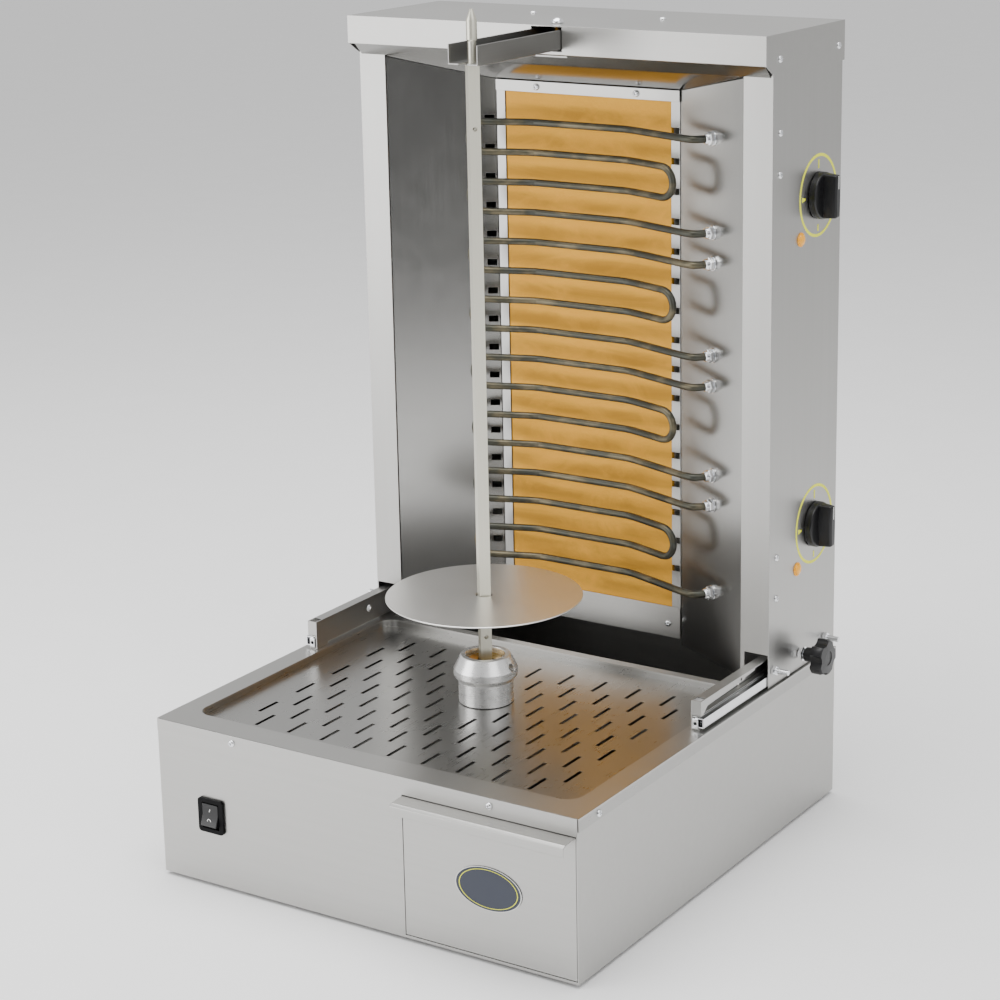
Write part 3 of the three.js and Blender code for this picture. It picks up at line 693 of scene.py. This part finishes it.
def through(points, steps=4):
    """A smooth run through places, by Catmull and Rom's curve."""
    path = []
    padded = [points[0] * 2 - points[1], *points, points[-1] * 2 - points[-2]]
    for before, start, end, after in zip(padded, padded[1:], padded[2:], padded[3:]):
        for step in range(steps):
            t = step / steps
            path.append(0.5 * ((2 * start) + (end - before) * t
                               + (2 * before - 5 * start + 4 * end - after) * t * t
                               + (3 * start - before - 3 * end + after) * t * t * t))
    path.append(points[-1])
    return path


def lead_in(height):
    """The places from behind the reflector to where the first pass starts."""
    inside = TERMINAL + REFLECTOR_OUT * -17
    face = TERMINAL + REFLECTOR_OUT * 2
    off = TERMINAL + REFLECTOR_OUT * 9
    plan = [inside, face, off, *(Vector((x, y, 0)) for x, y in reversed(LEAD_PLAN))]
    return [Vector((point.x, point.y, height)) for point in plan]


def element_path(first):
    """The places along one element, from its upper end to its lower end, in millimetres."""
    plan_right = [Vector((x, y, 0)) for x, y in END_PLAN]
    plan_left = [Vector((-x, y, 0)) for x, y in reversed(END_PLAN[3:])]
    whole = [*plan_left, *plan_right]
    pitch = BAR_PITCH / MM
    heights = [first - index * pitch for index in range(PASSES)]
    path = []
    for index, height in enumerate(heights):
        run = [Vector((point.x, point.y, height)) for point in whole]
        if index % 2 == 0:
            run.reverse()
        if index == 0:
            run = [*lead_in(height), *run]
        if index == PASSES - 1:
            run = [*run, *reversed(lead_in(height))]
        path.extend(through(run))
        if index < PASSES - 1:
            side = -1 if index % 2 == 0 else 1
            for step in range(1, 12):
                turn = pi * step / 12
                out = pitch / 2 * sin(turn)
                path.append(Vector((side * (BEND_REACH + out), BEND_Y - out * 0.3,
                                    height - pitch / 2 + pitch / 2 * cos(turn))))
    return path


# ---- operators

class Step(bpy.types.Operator):
    """Shared ground of the building steps."""

    bl_options = {"REGISTER", "UNDO"}

    def execute(self, context):
        self.build(context.scene.grill_sizes)
        return {"FINISHED"}


class GRILL_OT_materials(bpy.types.Operator):
    """Make every finish"""

    bl_idname = "grill.materials"
    bl_label = "Finishes"

    def execute(self, context):
        make_materials(context.scene.grill_colours)
        return {"FINISHED"}


class GRILL_OT_base(Step):
    """Build the base's sheet metal, the slotted deck and the feet"""

    bl_idname = "grill.base"
    bl_label = "Base and deck"

    def build(self, sizes):
        refined("base_shell", "stainless", "steel_x", sizes.fold)
        refined("base_floor", "stainless", "steel_x", sizes.fold / 2)
        refined("slotted_deck", "polished_steel", "deck", 0.00035)
        refined("drip_funnel", "stainless", "steel_x", sizes.fold / 2)
        for number in range(1, 5):
            refined(f"rubber_foot_{number}", "black_rubber", "rubber", 0.001, 3)


class GRILL_OT_drive(Step):
    """Build what drives the spit, under the deck"""

    bl_idname = "grill.drive"
    bl_label = "Drive"

    def build(self, sizes):
        refined("motor_bridge", "stainless", "steel_z", sizes.fold)
        refined("gear_motor", "cast_housing", "cast", 0.002, 3)
        refined("drive_shaft", "stainless", "spit", 0.0006)
        refined("shaft_bush", "brass", "brass", 0.0003)
        refined("terminal_block", "black_plastic", "black", 0.0006)
        refined("cable_gland", "black_plastic", "black", 0.0006)


class GRILL_OT_drawer(Step):
    """Build the drip drawer, its runners and its badge"""

    bl_idname = "grill.drawer"
    bl_label = "Drip drawer"

    def build(self, sizes):
        refined("drawer_front", "stainless", "steel_x", sizes.fold, 3)
        refined("drawer_tray", "stainless", "steel_y", sizes.fold)
        for side in ("left", "right"):
            refined(f"drawer_runner_{side}", "zinc_plate", "zinc", sizes.fold / 2)
        self.badge()

    def badge(self):
        low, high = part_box("badge")
        centre = middle("badge")
        half_width, half_height = (high.x - low.x) / 2, (high.z - low.z) / 2
        thick = high.y - low.y

        def oval(name, profile, hollow=False):
            piece = turned(name, profile, (0, 0, 0), FRONT, 96, hollow)
            piece.scale = (1, 1, half_height / half_width)
            piece.location = (centre.x, high.y, centre.z)
            return settle(piece)

        plate = oval("badge_plate", [
            (half_width, 0), (half_width, thick * 0.5), (half_width - 0.0004, thick * 0.75),
            (half_width - 0.002, thick * 0.75), (0.001, thick * 0.75)])
        finished(plate, "drawer", "badge_enamel", "badge", "badge")
        line = half_width - 0.0045
        ring = oval("badge_line", [
            (line, thick * 0.7), (line, thick * 0.9), (line - 0.0009, thick * 0.9),
            (line - 0.0009, thick * 0.7), (line, thick * 0.7)], True)
        finished(ring, "drawer", "badge_enamel", "ink")
        rim = oval("badge_rim", [
            (half_width, thick * 0.6), (half_width - 0.0001, thick * 0.95),
            (half_width - 0.0012, thick * 0.95), (half_width - 0.0013, thick * 0.6),
            (half_width, thick * 0.6)], True)
        finished(rim, "drawer", "badge_enamel", "zinc")


ROCKER_REST = -10       # degrees the rocker leans at rest
ROCKER_FACE = 10.8      # degrees each half of its face slopes from the middle
SPIT_TURN = 47          # degrees the square spit is turned about its axis


class GRILL_OT_switch(Step):
    """Build the rocker switch and its two marks"""

    bl_idname = "grill.switch"
    bl_label = "Rocker switch"

    def build(self, sizes):
        refined("switch_housing", "black_plastic", "black", 0.0007, 3)
        refined("switch_rocker", "black_plastic", "knob", 0.0006, 3)
        pivot = Vector(next(j["pos_m"] for j in frame["joints"] if j["name"] == "switch_tilt"))
        lean = {half: radians(ROCKER_REST - half * ROCKER_FACE) for half in (1, -1)}
        bar = block("mark_on", (-0.0005, -0.0001, -0.0022), (0.0005, 0.0001, 0.0022))
        ring = turned("mark_off", [(0.0024, -0.0001), (0.0024, 0.0001), (0.0016, 0.0001),
                                   (0.0016, -0.0001), (0.0024, -0.0001)], (0, 0, 0), FRONT, 32, True)
        for piece, half in ((bar, 1), (ring, -1)):
            face = Matrix.Rotation(radians(ROCKER_REST), 4, "X") @ Vector((0, -8.75 * MM, half * 6 * MM))
            tilt = Matrix.Rotation(lean[half], 4, "X")
            piece.data.transform(Matrix.Translation(pivot + face) @ tilt)
            finished(piece, "rocker", "black_plastic", "white_ink")


class GRILL_OT_spit(Step):
    """Build the drive hub, the spit, its pins and the meat disc"""

    bl_idname = "grill.spit"
    bl_label = "Spit and disc"

    def build(self, sizes):
        axis = at(0, 236, 0)
        self.hub(axis)
        spit = copied("spit_bar")
        finished(eased(spit, 0.0004, 2, 40), "spit", "stainless", "spit", "spit_bar")
        for pin in ("cross_pin", "disc_pin"):
            refined(pin, "stainless", "oiled", 0.0004)
        self.disc(axis)

    def hub(self, axis):
        profile = [(29.0, 0), (29.5, 0.5), (29.5, 23.9), (29.9, 24.7), (33.2, 28.3), (34.3, 30.0),
                   (34.5, 31.0), (34.5, 36.9), (34.1, 38.0), (27.2, 51.6), (26.3, 52.4), (25.6, 52.5),
                   (21.6, 52.5), (21.2, 52.2), (21.0, 51.7), (21.0, 39.5), (1.0, 39.5)]
        foot = Vector((axis.x, axis.y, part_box("drive_hub")[0].z))
        hub = turned("drive_hub_skin", scaled(profile), foot, UP, 96)
        socket = block("socket", (-0.0063, -0.0063, 0.0185), (0.0063, 0.0063, 0.06))
        socket.data.transform(Matrix.Translation(foot) @ Matrix.Rotation(radians(SPIT_TURN), 4, "Z"))
        grub_ends = [foot + Vector((reach, 0.001, 0.0415)) for reach in (0.018, 0.045)]
        grub = rod("grub", 0.0042, *grub_ends)
        cut(hub, socket, grub)
        finished(smooth(hub, 30), "spit", "turned_aluminium", "hub", "drive_hub")
        lift = (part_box("hub_ring")[0].z - foot.z) / MM
        brass = [(20.5, 0), (20.5, 5.4), (20.0, 5.9), (17.4, 8.0), (16.6, 8.2),
                 (9.8, 5.7), (9.4, 5.2), (9.4, 0), (20.5, 0)]
        ring = turned("hub_ring_skin", scaled(brass, lift), foot, UP, 72, True)
        finished(ring, "spit", "brass", "brass", "hub_ring")

    def disc(self, axis):
        low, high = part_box("meat_disc")
        radius = (high.x - low.x) / 2
        thick = high.z - low.z
        foot = Vector((axis.x, axis.y, low.z))
        disc = turned("meat_disc_skin", [
            (radius - 0.0005, 0), (radius - 0.0001, 0.0003), (radius, thick / 2),
            (radius - 0.0001, thick - 0.0003), (radius - 0.0005, thick), (0.03, thick)], foot, UP, 160)
        cut(disc, rod("hole", 0.0092, foot - UP * 0.01, foot + UP * 0.01, 48))
        finished(smooth(disc, 30), "disc", "polished_steel", "disc", "meat_disc")


class GRILL_OT_cabinet(Step):
    """Build the cabinet's panels, hood, reflectors and strips"""

    bl_idname = "grill.cabinet"
    bl_label = "Cabinet"

    def build(self, sizes):
        for side in ("left", "right"):
            refined(f"side_panel_{side}", "stainless", "steel_z", sizes.fold, 3)
            refined(f"side_reflector_{side}", "polished_steel", "reflector", 0.0003)
            refined(f"frame_strip_{side}", "stainless", "steel_z", 0.0003)
        refined("hood", "stainless", "steel_x", sizes.fold * 1.5, 3)
        refined("cabinet_back", "stainless", "steel_z", 0.0003)
        refined("cabinet_floor", "stainless", "steel_x", 0.0003)
        refined("ceiling_reflector", "polished_steel", "ceiling", 0.0003)
        for place in ("top", "bottom"):
            refined(f"frame_{place}_strip", "stainless", "steel_x", 0.0003)
        refined("radiant_board", "vermiculite_board", "board", 0.0008)
        refined("wool_blanket", "mineral_wool", "wool", 0.004, 3)


class GRILL_OT_elements(Step):
    """Build the bent heating elements and the nuts that hold their ends"""

    bl_idname = "grill.elements"
    bl_label = "Heating elements"

    def build(self, sizes):
        for index, node in enumerate(ELEMENTS):
            first = (BARS[index * PASSES] - CORNER.z) / MM
            places = [at(*point) for point in element_path(first)]
            finished(poured(node + "_tube", places, sizes.tube), "cabinet", "element_sheath", "sheath", node)
        nut = self.nut(sizes)
        ends = [BARS[index * PASSES + offset] for index in range(4) for offset in (0, PASSES - 1)]
        for number, height in enumerate(ends, 1):
            foot = at(TERMINAL.x, TERMINAL.y, 0)
            foot.z = height
            spin = Matrix.Rotation(radians(17 * number), 4, "Z")
            piece = twin(nut, f"element_nut_{number}", facing(foot, REFLECTOR_OUT) @ spin)
            finished(smooth(piece), "cabinet", "element_sheath", "nut")
        bpy.data.objects.remove(nut)

    def nut(self, sizes):
        inner = sizes.tube + 0.0002
        washer = turned("washer", [(0.0078, 0.0001), (0.008, 0.0004), (0.008, 0.0011), (0.0077, 0.0014),
                                   (inner, 0.0014), (inner, 0.0001), (0.0078, 0.0001)], sides=40, hollow=True)
        body = turned("nut", [(sizes.nut - 0.0008, 0.0015), (sizes.nut, 0.0022), (sizes.nut, 0.0058),
                              (sizes.nut - 0.0009, 0.0066)], sides=6)
        bore = rod("bore", inner, (0, 0, -0.001), (0, 0, 0.012))
        cut(body, bore)
        thread = [(inner, 0.0066)]
        for turn in range(4):
            thread += [(0.0055, 0.0068 + turn * 0.0009), (0.0051, 0.0072 + turn * 0.0009)]
        thread += [(inner, 0.0104), (inner, 0.0066)]
        stub = turned("stub", thread, sides=40, hollow=True)
        return grouped("nut", [eased(body, 0.0003), washer, stub])


class GRILL_OT_controls(Step):
    """Build the heat knobs, their printed dials, the regulators and the pilot lamps"""

    bl_idname = "grill.controls"
    bl_label = "Controls"

    def build(self, sizes):
        for level in ("upper", "lower"):
            centre = middle(f"heat_knob_{level}")
            centre.x = PANEL_X
            self.knob(level, centre)
            self.dial(level, centre, sizes)
            self.lamp(level)
            refined(f"heat_regulator_{level}", "black_plastic", "black", 0.001, 3)

    def knob(self, level, centre):
        skirt = [(25.0, 1.0), (25.0, 6.8), (24.6, 8.0), (23.6, 8.8), (20, 9.2), (2, 9.4)]
        body = turned("skirt", scaled(skirt), (0, 0, 0), UP, 72)
        grip = block("grip", (-0.0242, -0.0082, 0.004), (0.0242, 0.0082, 0.0235))
        edit(grip)
        bpy.ops.mesh.subdivide(number_cuts=3)
        object_mode()
        for vertex in grip.data.vertices:
            taper = (vertex.co.z - 0.004) / 0.0195
            vertex.co.y *= 1 - 0.28 * taper
            vertex.co.x *= 1 - 0.06 * taper
            vertex.co.y *= 1 - 0.25 * (abs(vertex.co.x) / 0.0242) ** 2
        welded(body, eased(grip, 0.003, 4, 30))
        stem = rod("stem", 0.003, (0, 0, -0.009), (0, 0, 0.003))
        whole = grouped(f"heat_knob_{level}_skin", [eased(body, 0.0005, 2, 38), stem])
        turn = Matrix.Rotation(radians(90), 4, "Y")
        whole.data.transform(Matrix.Translation(centre) @ turn)
        finished(whole, f"knob_{level}", "black_plastic", "knob", f"heat_knob_{level}")
        pointer = block(f"knob_pointer_{level}", (-0.0218, -0.0006, 0.0232), (-0.008, 0.0006, 0.0237))
        pointer.data.transform(Matrix.Translation(centre) @ turn)
        finished(pointer, f"knob_{level}", "black_plastic", "white_ink")

    def dial(self, level, centre, sizes):
        outer, inner = sizes.dial + sizes.dial_line / 2, sizes.dial - sizes.dial_line / 2
        low, high = 0.00002, 0.00016
        ring = turned("ring", [(outer, low), (outer, high), (inner, high), (inner, low), (outer, low)],
                      (0, 0, 0), UP, 120, True)
        marks = [ring]
        for angle, reach, width in ((0, 0.0095, 0.0013), (90, 0.0075, 0.0028), (180, 0.007, 0.0013),
                                    (270, 0.0075, 0.0028)):
            mark = block("mark", (-width, inner - 0.003 - reach, low), (width, inner - 0.003, high))
            for vertex in mark.data.vertices:
                if width > 0.002 and vertex.co.y < inner - 0.006:
                    vertex.co.x *= 0.3
            mark.data.transform(Matrix.Rotation(radians(angle), 4, "Z"))
            marks.append(mark)
        print_ring = grouped(f"dial_print_{level}", marks)
        turn = Matrix.Rotation(radians(90), 4, "Z") @ Matrix.Rotation(radians(90), 4, "X")
        print_ring.data.transform(Matrix.Translation(centre) @ turn)
        finished(print_ring, "cabinet", "stainless", "ink")

    def lamp(self, level):
        centre = middle(f"pilot_lamp_{level}")
        centre.x = PANEL_X
        bezel = [(7.6, 0.1), (7.6, 0.8), (7.2, 1.2), (6.6, 1.2), (6.4, 0.8), (6.4, 0.1), (7.6, 0.1)]
        ring = turned(f"lamp_bezel_{level}", scaled(bezel), centre, RIGHT, 48, True)
        finished(ring, "cabinet", "amber_lens", "lamp")
        lens = [(5.0, -14), (5.0, 0.3), (6.3, 0.4), (6.3, 1.4), (5.6, 2.6),
                (4.2, 3.4), (2.2, 3.75), (0.2, 3.8)]
        dome = turned(f"pilot_lamp_{level}_lens", scaled(lens), centre, RIGHT, 48)
        finished(dome, "cabinet", "amber_lens", "lamp", f"pilot_lamp_{level}")


class GRILL_OT_rails(Step):
    """Build the telescopic rails, their brackets, ball rows and end clips, and the clamp knob with its stud
    """

    bl_idname = "grill.rails"
    bl_label = "Rails and clamp"

    def build(self, sizes):
        for side in ("left", "right"):
            refined(f"rail_bracket_{side}", "stainless", "steel_y", 0.0005)
            refined(f"rail_fixed_{side}", "zinc_plate", "zinc", 0.0004)
            refined(f"rail_moving_{side}", "zinc_plate", "nut", 0.0003)
            self.cage(side)
            self.end_clip(side)
        self.clamp()

    def end_clip(self, side):
        """The pressed clip that closes the front end of the fixed section."""
        middle_x = 246.1 if side == "right" else -246.1
        clip = block("clip", at(middle_x - 3.5, 252.4, 175.0), at(middle_x + 3.5, 257.6, 185.8))
        cut(clip, rod("eye", 0.0018, at(middle_x, 250, 180.4), at(middle_x, 260, 180.4), 24))
        finished(eased(clip, 0.0008, 3), "base", "zinc_plate", "nut")

    def cage(self, side):
        """The balls between the two sections of a slide; the thin strip that holds them is not built."""
        sign = 1 if side == "right" else -1
        nothing_selected()
        bpy.ops.mesh.primitive_uv_sphere_add(segments=14, ring_count=8, radius=0.0011)
        ball = smooth(taken(bpy.context.object, "ball"), 60)
        balls = []
        for index in range(18):
            for height in (178.6, 184.2):
                place = at(sign * 246.8, 264 + index * 7.5, height)
                balls.append(twin(ball, "ball", Matrix.Translation(place)))
        bpy.data.objects.remove(ball)
        finished(grouped(f"ball_row_{side}", balls), "base", "zinc_plate", "nut")

    def clamp(self):
        centre = middle("clamp_knob")
        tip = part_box("clamp_knob")[1].x
        foot = Vector((tip - 0.014, centre.y, centre.z))
        star = turned("star", [
            (0.0200, 0), (0.0203, 0.0035), (0.0203, 0.0105), (0.0185, 0.0134),
            (0.008, 0.014), (0.0075, 0.0132), (0.002, 0.0132)], (0, 0, 0), UP, 100)
        for lobe in range(5):
            angle = 2 * pi * (lobe + 0.5) / 5
            place = Vector((cos(angle), sin(angle), 0)) * 0.0262
            scoop = rod("scoop", 0.0105, place - Vector((0, 0, 0.01)), place + Vector((0, 0, 0.03)), 40)
            cut(star, scoop)
        neck = turned("neck", [(0.0072, -0.0135), (0.0078, -0.0125), (0.0085, -0.003), (0.0120, 0.0015)],
                      (0, 0, 0), UP, 48)
        welded(star, neck)
        eased(star, 0.0012, 3, 32)
        star.data.transform(facing(foot, RIGHT))
        finished(taken(star, "clamp_star"), "clamp", "black_plastic", "knob", "clamp_knob")
        start = Vector((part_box("clamp_knob")[0].x, centre.y, centre.z))
        stud = turned("stud", threaded(0.003, tip - 0.026 - start.x), start, RIGHT, 32)
        collar_foot = Vector((PANEL_X + 0.0006, centre.y, centre.z))
        nut = eased(turned("collar", [(0.006, 0), (0.006, 0.0045)], collar_foot, RIGHT, 6), 0.0004)
        washer_profile = [(0.0078, 0.0046), (0.0078, 0.0056), (0.004, 0.0058)]
        washer = turned("washer", washer_profile, collar_foot, RIGHT, 40)
        finished(grouped("clamp_stud", [stud, nut, washer]), "clamp", "black_plastic", "nut")


class GRILL_OT_arm(Step):
    """Build the arm that steadies the top of the spit, and its thumb screw"""

    bl_idname = "grill.arm"
    bl_label = "Top arm"

    def build(self, sizes):
        refined("spit_arm", "stainless", "arm", 0.0005)
        centre = middle("thumb_screw")
        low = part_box("thumb_screw")[0].z
        top = Vector((centre.x, centre.y, HOOD_TOP_Z))
        head = [(6.4, 0.4), (6.6, 0.8), (6.6, 2.2), (6.2, 3.2),
                (5.2, 4.4), (3.4, 5.6), (1.6, 6.2), (0.3, 6.35)]
        dome = turned("thumb_head", scaled(head), top, UP, 56)
        finished(dome, "thumb", "plated_screw", "nut", "thumb_screw")
        stem_foot = Vector((centre.x, centre.y, low))
        stem = threaded(0.003, HOOD_TOP_Z + 0.0004 - low)
        finished(turned("thumb_stem", stem, stem_foot, UP, 32), "thumb", "plated_screw", "brass")


class GRILL_OT_screws(Step):
    """Build the small pan head screws and set them where the sheets are joined"""

    bl_idname = "grill.screws"
    bl_label = "Screws"

    def build(self, sizes):
        master = self.screw(sizes.screw)
        hood_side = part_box("hood")[1].x
        deck_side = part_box("slotted_deck")[1].x
        strip_y = (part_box("frame_top_strip")[0].y - CORNER.y) / MM
        hood_x, panel_x, deck_x = ((x - CORNER.x) / MM for x in (hood_side, PANEL_X, deck_side))
        back = (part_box("cabinet_back")[1].y - CORNER.y) / MM
        base_back = (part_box("base_shell")[1].y - CORNER.y) / MM
        top = (HOOD_TOP_Z - CORNER.z) / MM
        places = []
        for side in (-1, 1):
            outwards = RIGHT * side
            places += [("cabinet", (side * 81.5, 479, top), UP),
                       ("cabinet", (side * 63, strip_y, 793.2), FRONT),
                       ("cabinet", (side * 101, strip_y, 203), FRONT), ("base", (side * 159, 0, 165), FRONT)]
            places += [("cabinet", (side * hood_x, y, 844.5), outwards) for y in (406, 540)]
            places += [("cabinet", (side * panel_x, 411, z), outwards) for z in (769, 726, 316.5, 271)]
            places += [("base", (side * deck_x, y, 165.5), outwards) for y in (38, 516)]
            places += [("cabinet", (side * 247, back, z), BACK) for z in (240, 440, 640, 810)]
            places.append(("base", (side * 240, base_back, 12), BACK))
        for number, (body, place, outwards) in enumerate(places, 1):
            screw = twin(master, f"screw_{number}", facing(at(*place), outwards))
            finished(smooth(screw), body, "zinc_plate", "nut")
        bpy.data.objects.remove(master)

    def screw(self, radius):
        head = [(1.0, 0.02), (1.0, 0.18), (0.94, 0.34), (0.78, 0.5), (0.5, 0.6), (0.1, 0.62)]
        screw = turned("screw", [(r * radius, h * radius) for r, h in head], sides=28)
        long, short, deep = radius * 0.5, radius * 0.12, radius * 0.3
        first = block("slot", (-long, -short, deep), (long, short, radius))
        second = block("slot", (-short, -long, deep), (short, long, radius))
        return cut(screw, first, second)


class GRILL_OT_stage(Step):
    """Set the floor, the soft lights and the camera"""

    bl_idname = "grill.stage"
    bl_label = "Stage"

    def build(self, sizes):
        self.floor()
        self.sky()
        self.light("key", at(-1500, -1500, 820), at(0, 350, 620), (1.5, 1.5), 26)
        self.light("fill", at(2300, -700, 1900), at(0, 280, 420), (1.6, 1.6), 14)
        self.light("top", at(-200, 100, 2700), at(0, 280, 420), (2.4, 2.4), 100)
        self.flag()
        self.camera()

    def floor(self):
        nothing_selected()
        bpy.ops.mesh.primitive_circle_add(vertices=96, radius=30, fill_type="NGON", location=(0, 0, 0))
        floor = taken(bpy.context.object, "floor")
        finish = Finish("floor_paint", Metallic=0.0, Roughness=0.7)
        grain = finish.noise((12, 12, 12), 3)
        finish.use(Base_Color=finish.mix(grain, (0.95, 0.95, 0.95), (0.99, 0.99, 0.99)))
        floor.data.materials.append(finish.material)

    def sky(self):
        world = bpy.data.worlds.new("studio")
        world.use_nodes = True
        bpy.context.scene.world = world
        background = world.node_tree.nodes["Background"]
        background.inputs["Color"].default_value = (1.0, 1.0, 1.0, 1)
        background.inputs["Strength"].default_value = 0.8

    def light(self, name, place, target, size, power):
        data = bpy.data.lights.new(name, "AREA")
        data.shape = "RECTANGLE"
        data.size, data.size_y = size
        data.energy = power
        light = bpy.data.objects.new(name, data)
        bpy.context.scene.collection.objects.link(light)
        light.location = place
        light.rotation_mode = "QUATERNION"
        light.rotation_quaternion = (target - place).to_track_quat("-Z", "Y")

    def flag(self):
        """A dark card off to the right, for the left reflector and the rounds to mirror."""
        card = block("flag", at(180, -1420, 30), at(980, -1415, 1150))
        finish = Finish("flag_cloth", Metallic=0.0, Roughness=0.9, Base_Color=(0.02, 0.02, 0.02))
        card.data.materials.append(finish.material)
        card.visible_camera = False

    def camera(self):
        azimuth, elevation, roll = 0.568, 0.266, -0.016
        data = bpy.data.cameras.new("camera")
        data.sensor_width = 36
        data.lens = 91.27
        data.shift_x, data.shift_y = -0.04, -0.06
        camera = bpy.data.objects.new("camera", data)
        bpy.context.scene.collection.objects.link(camera)
        forward = Vector((-sin(azimuth) * cos(elevation), cos(azimuth) * cos(elevation), -sin(elevation)))
        right = forward.cross(UP).normalized()
        up = right.cross(forward)
        across = right * cos(roll) + up * sin(roll)
        upright = up * cos(roll) - right * sin(roll)
        turn = Matrix((across, upright, -forward)).transposed()
        camera.rotation_mode = "QUATERNION"
        camera.rotation_quaternion = turn.to_quaternion()
        camera.location = at(1425.9, -1883.3, 1148.7)
        bpy.context.scene.camera = camera


STEPS = (
    GRILL_OT_materials, GRILL_OT_base, GRILL_OT_drive, GRILL_OT_drawer, GRILL_OT_switch, GRILL_OT_spit,
    GRILL_OT_cabinet, GRILL_OT_elements, GRILL_OT_controls, GRILL_OT_rails, GRILL_OT_arm, GRILL_OT_screws,
    GRILL_OT_stage)


class GRILL_PT_panel(bpy.types.Panel):
    """The grill's building steps, in order"""

    bl_label = "Spit Grill"
    bl_idname = "GRILL_PT_panel"
    bl_space_type = "VIEW_3D"
    bl_region_type = "UI"
    bl_category = "Spit Grill"

    def draw(self, context):
        for step in STEPS:
            self.layout.operator(step.bl_idname)
        for group in (context.scene.grill_sizes, context.scene.grill_colours):
            for name in group.bl_rna.properties.keys():
                if name not in {"rna_type", "name"}:
                    self.layout.prop(group, name)


CLASSES = (GrillSizes, GrillColours, *STEPS, GRILL_PT_panel)


def register():
    for kind in CLASSES:
        bpy.utils.register_class(kind)
    bpy.types.Scene.grill_sizes = bpy.props.PointerProperty(type=GrillSizes)
    bpy.types.Scene.grill_colours = bpy.props.PointerProperty(type=GrillColours)


def unregister():
    del bpy.types.Scene.grill_colours
    del bpy.types.Scene.grill_sizes
    for kind in reversed(CLASSES):
        bpy.utils.unregister_class(kind)


def main():
    register()
    for step in STEPS:
        getattr(bpy.ops.grill, step.bl_idname.split(".")[1])()


if __name__ == "__main__":
    main()
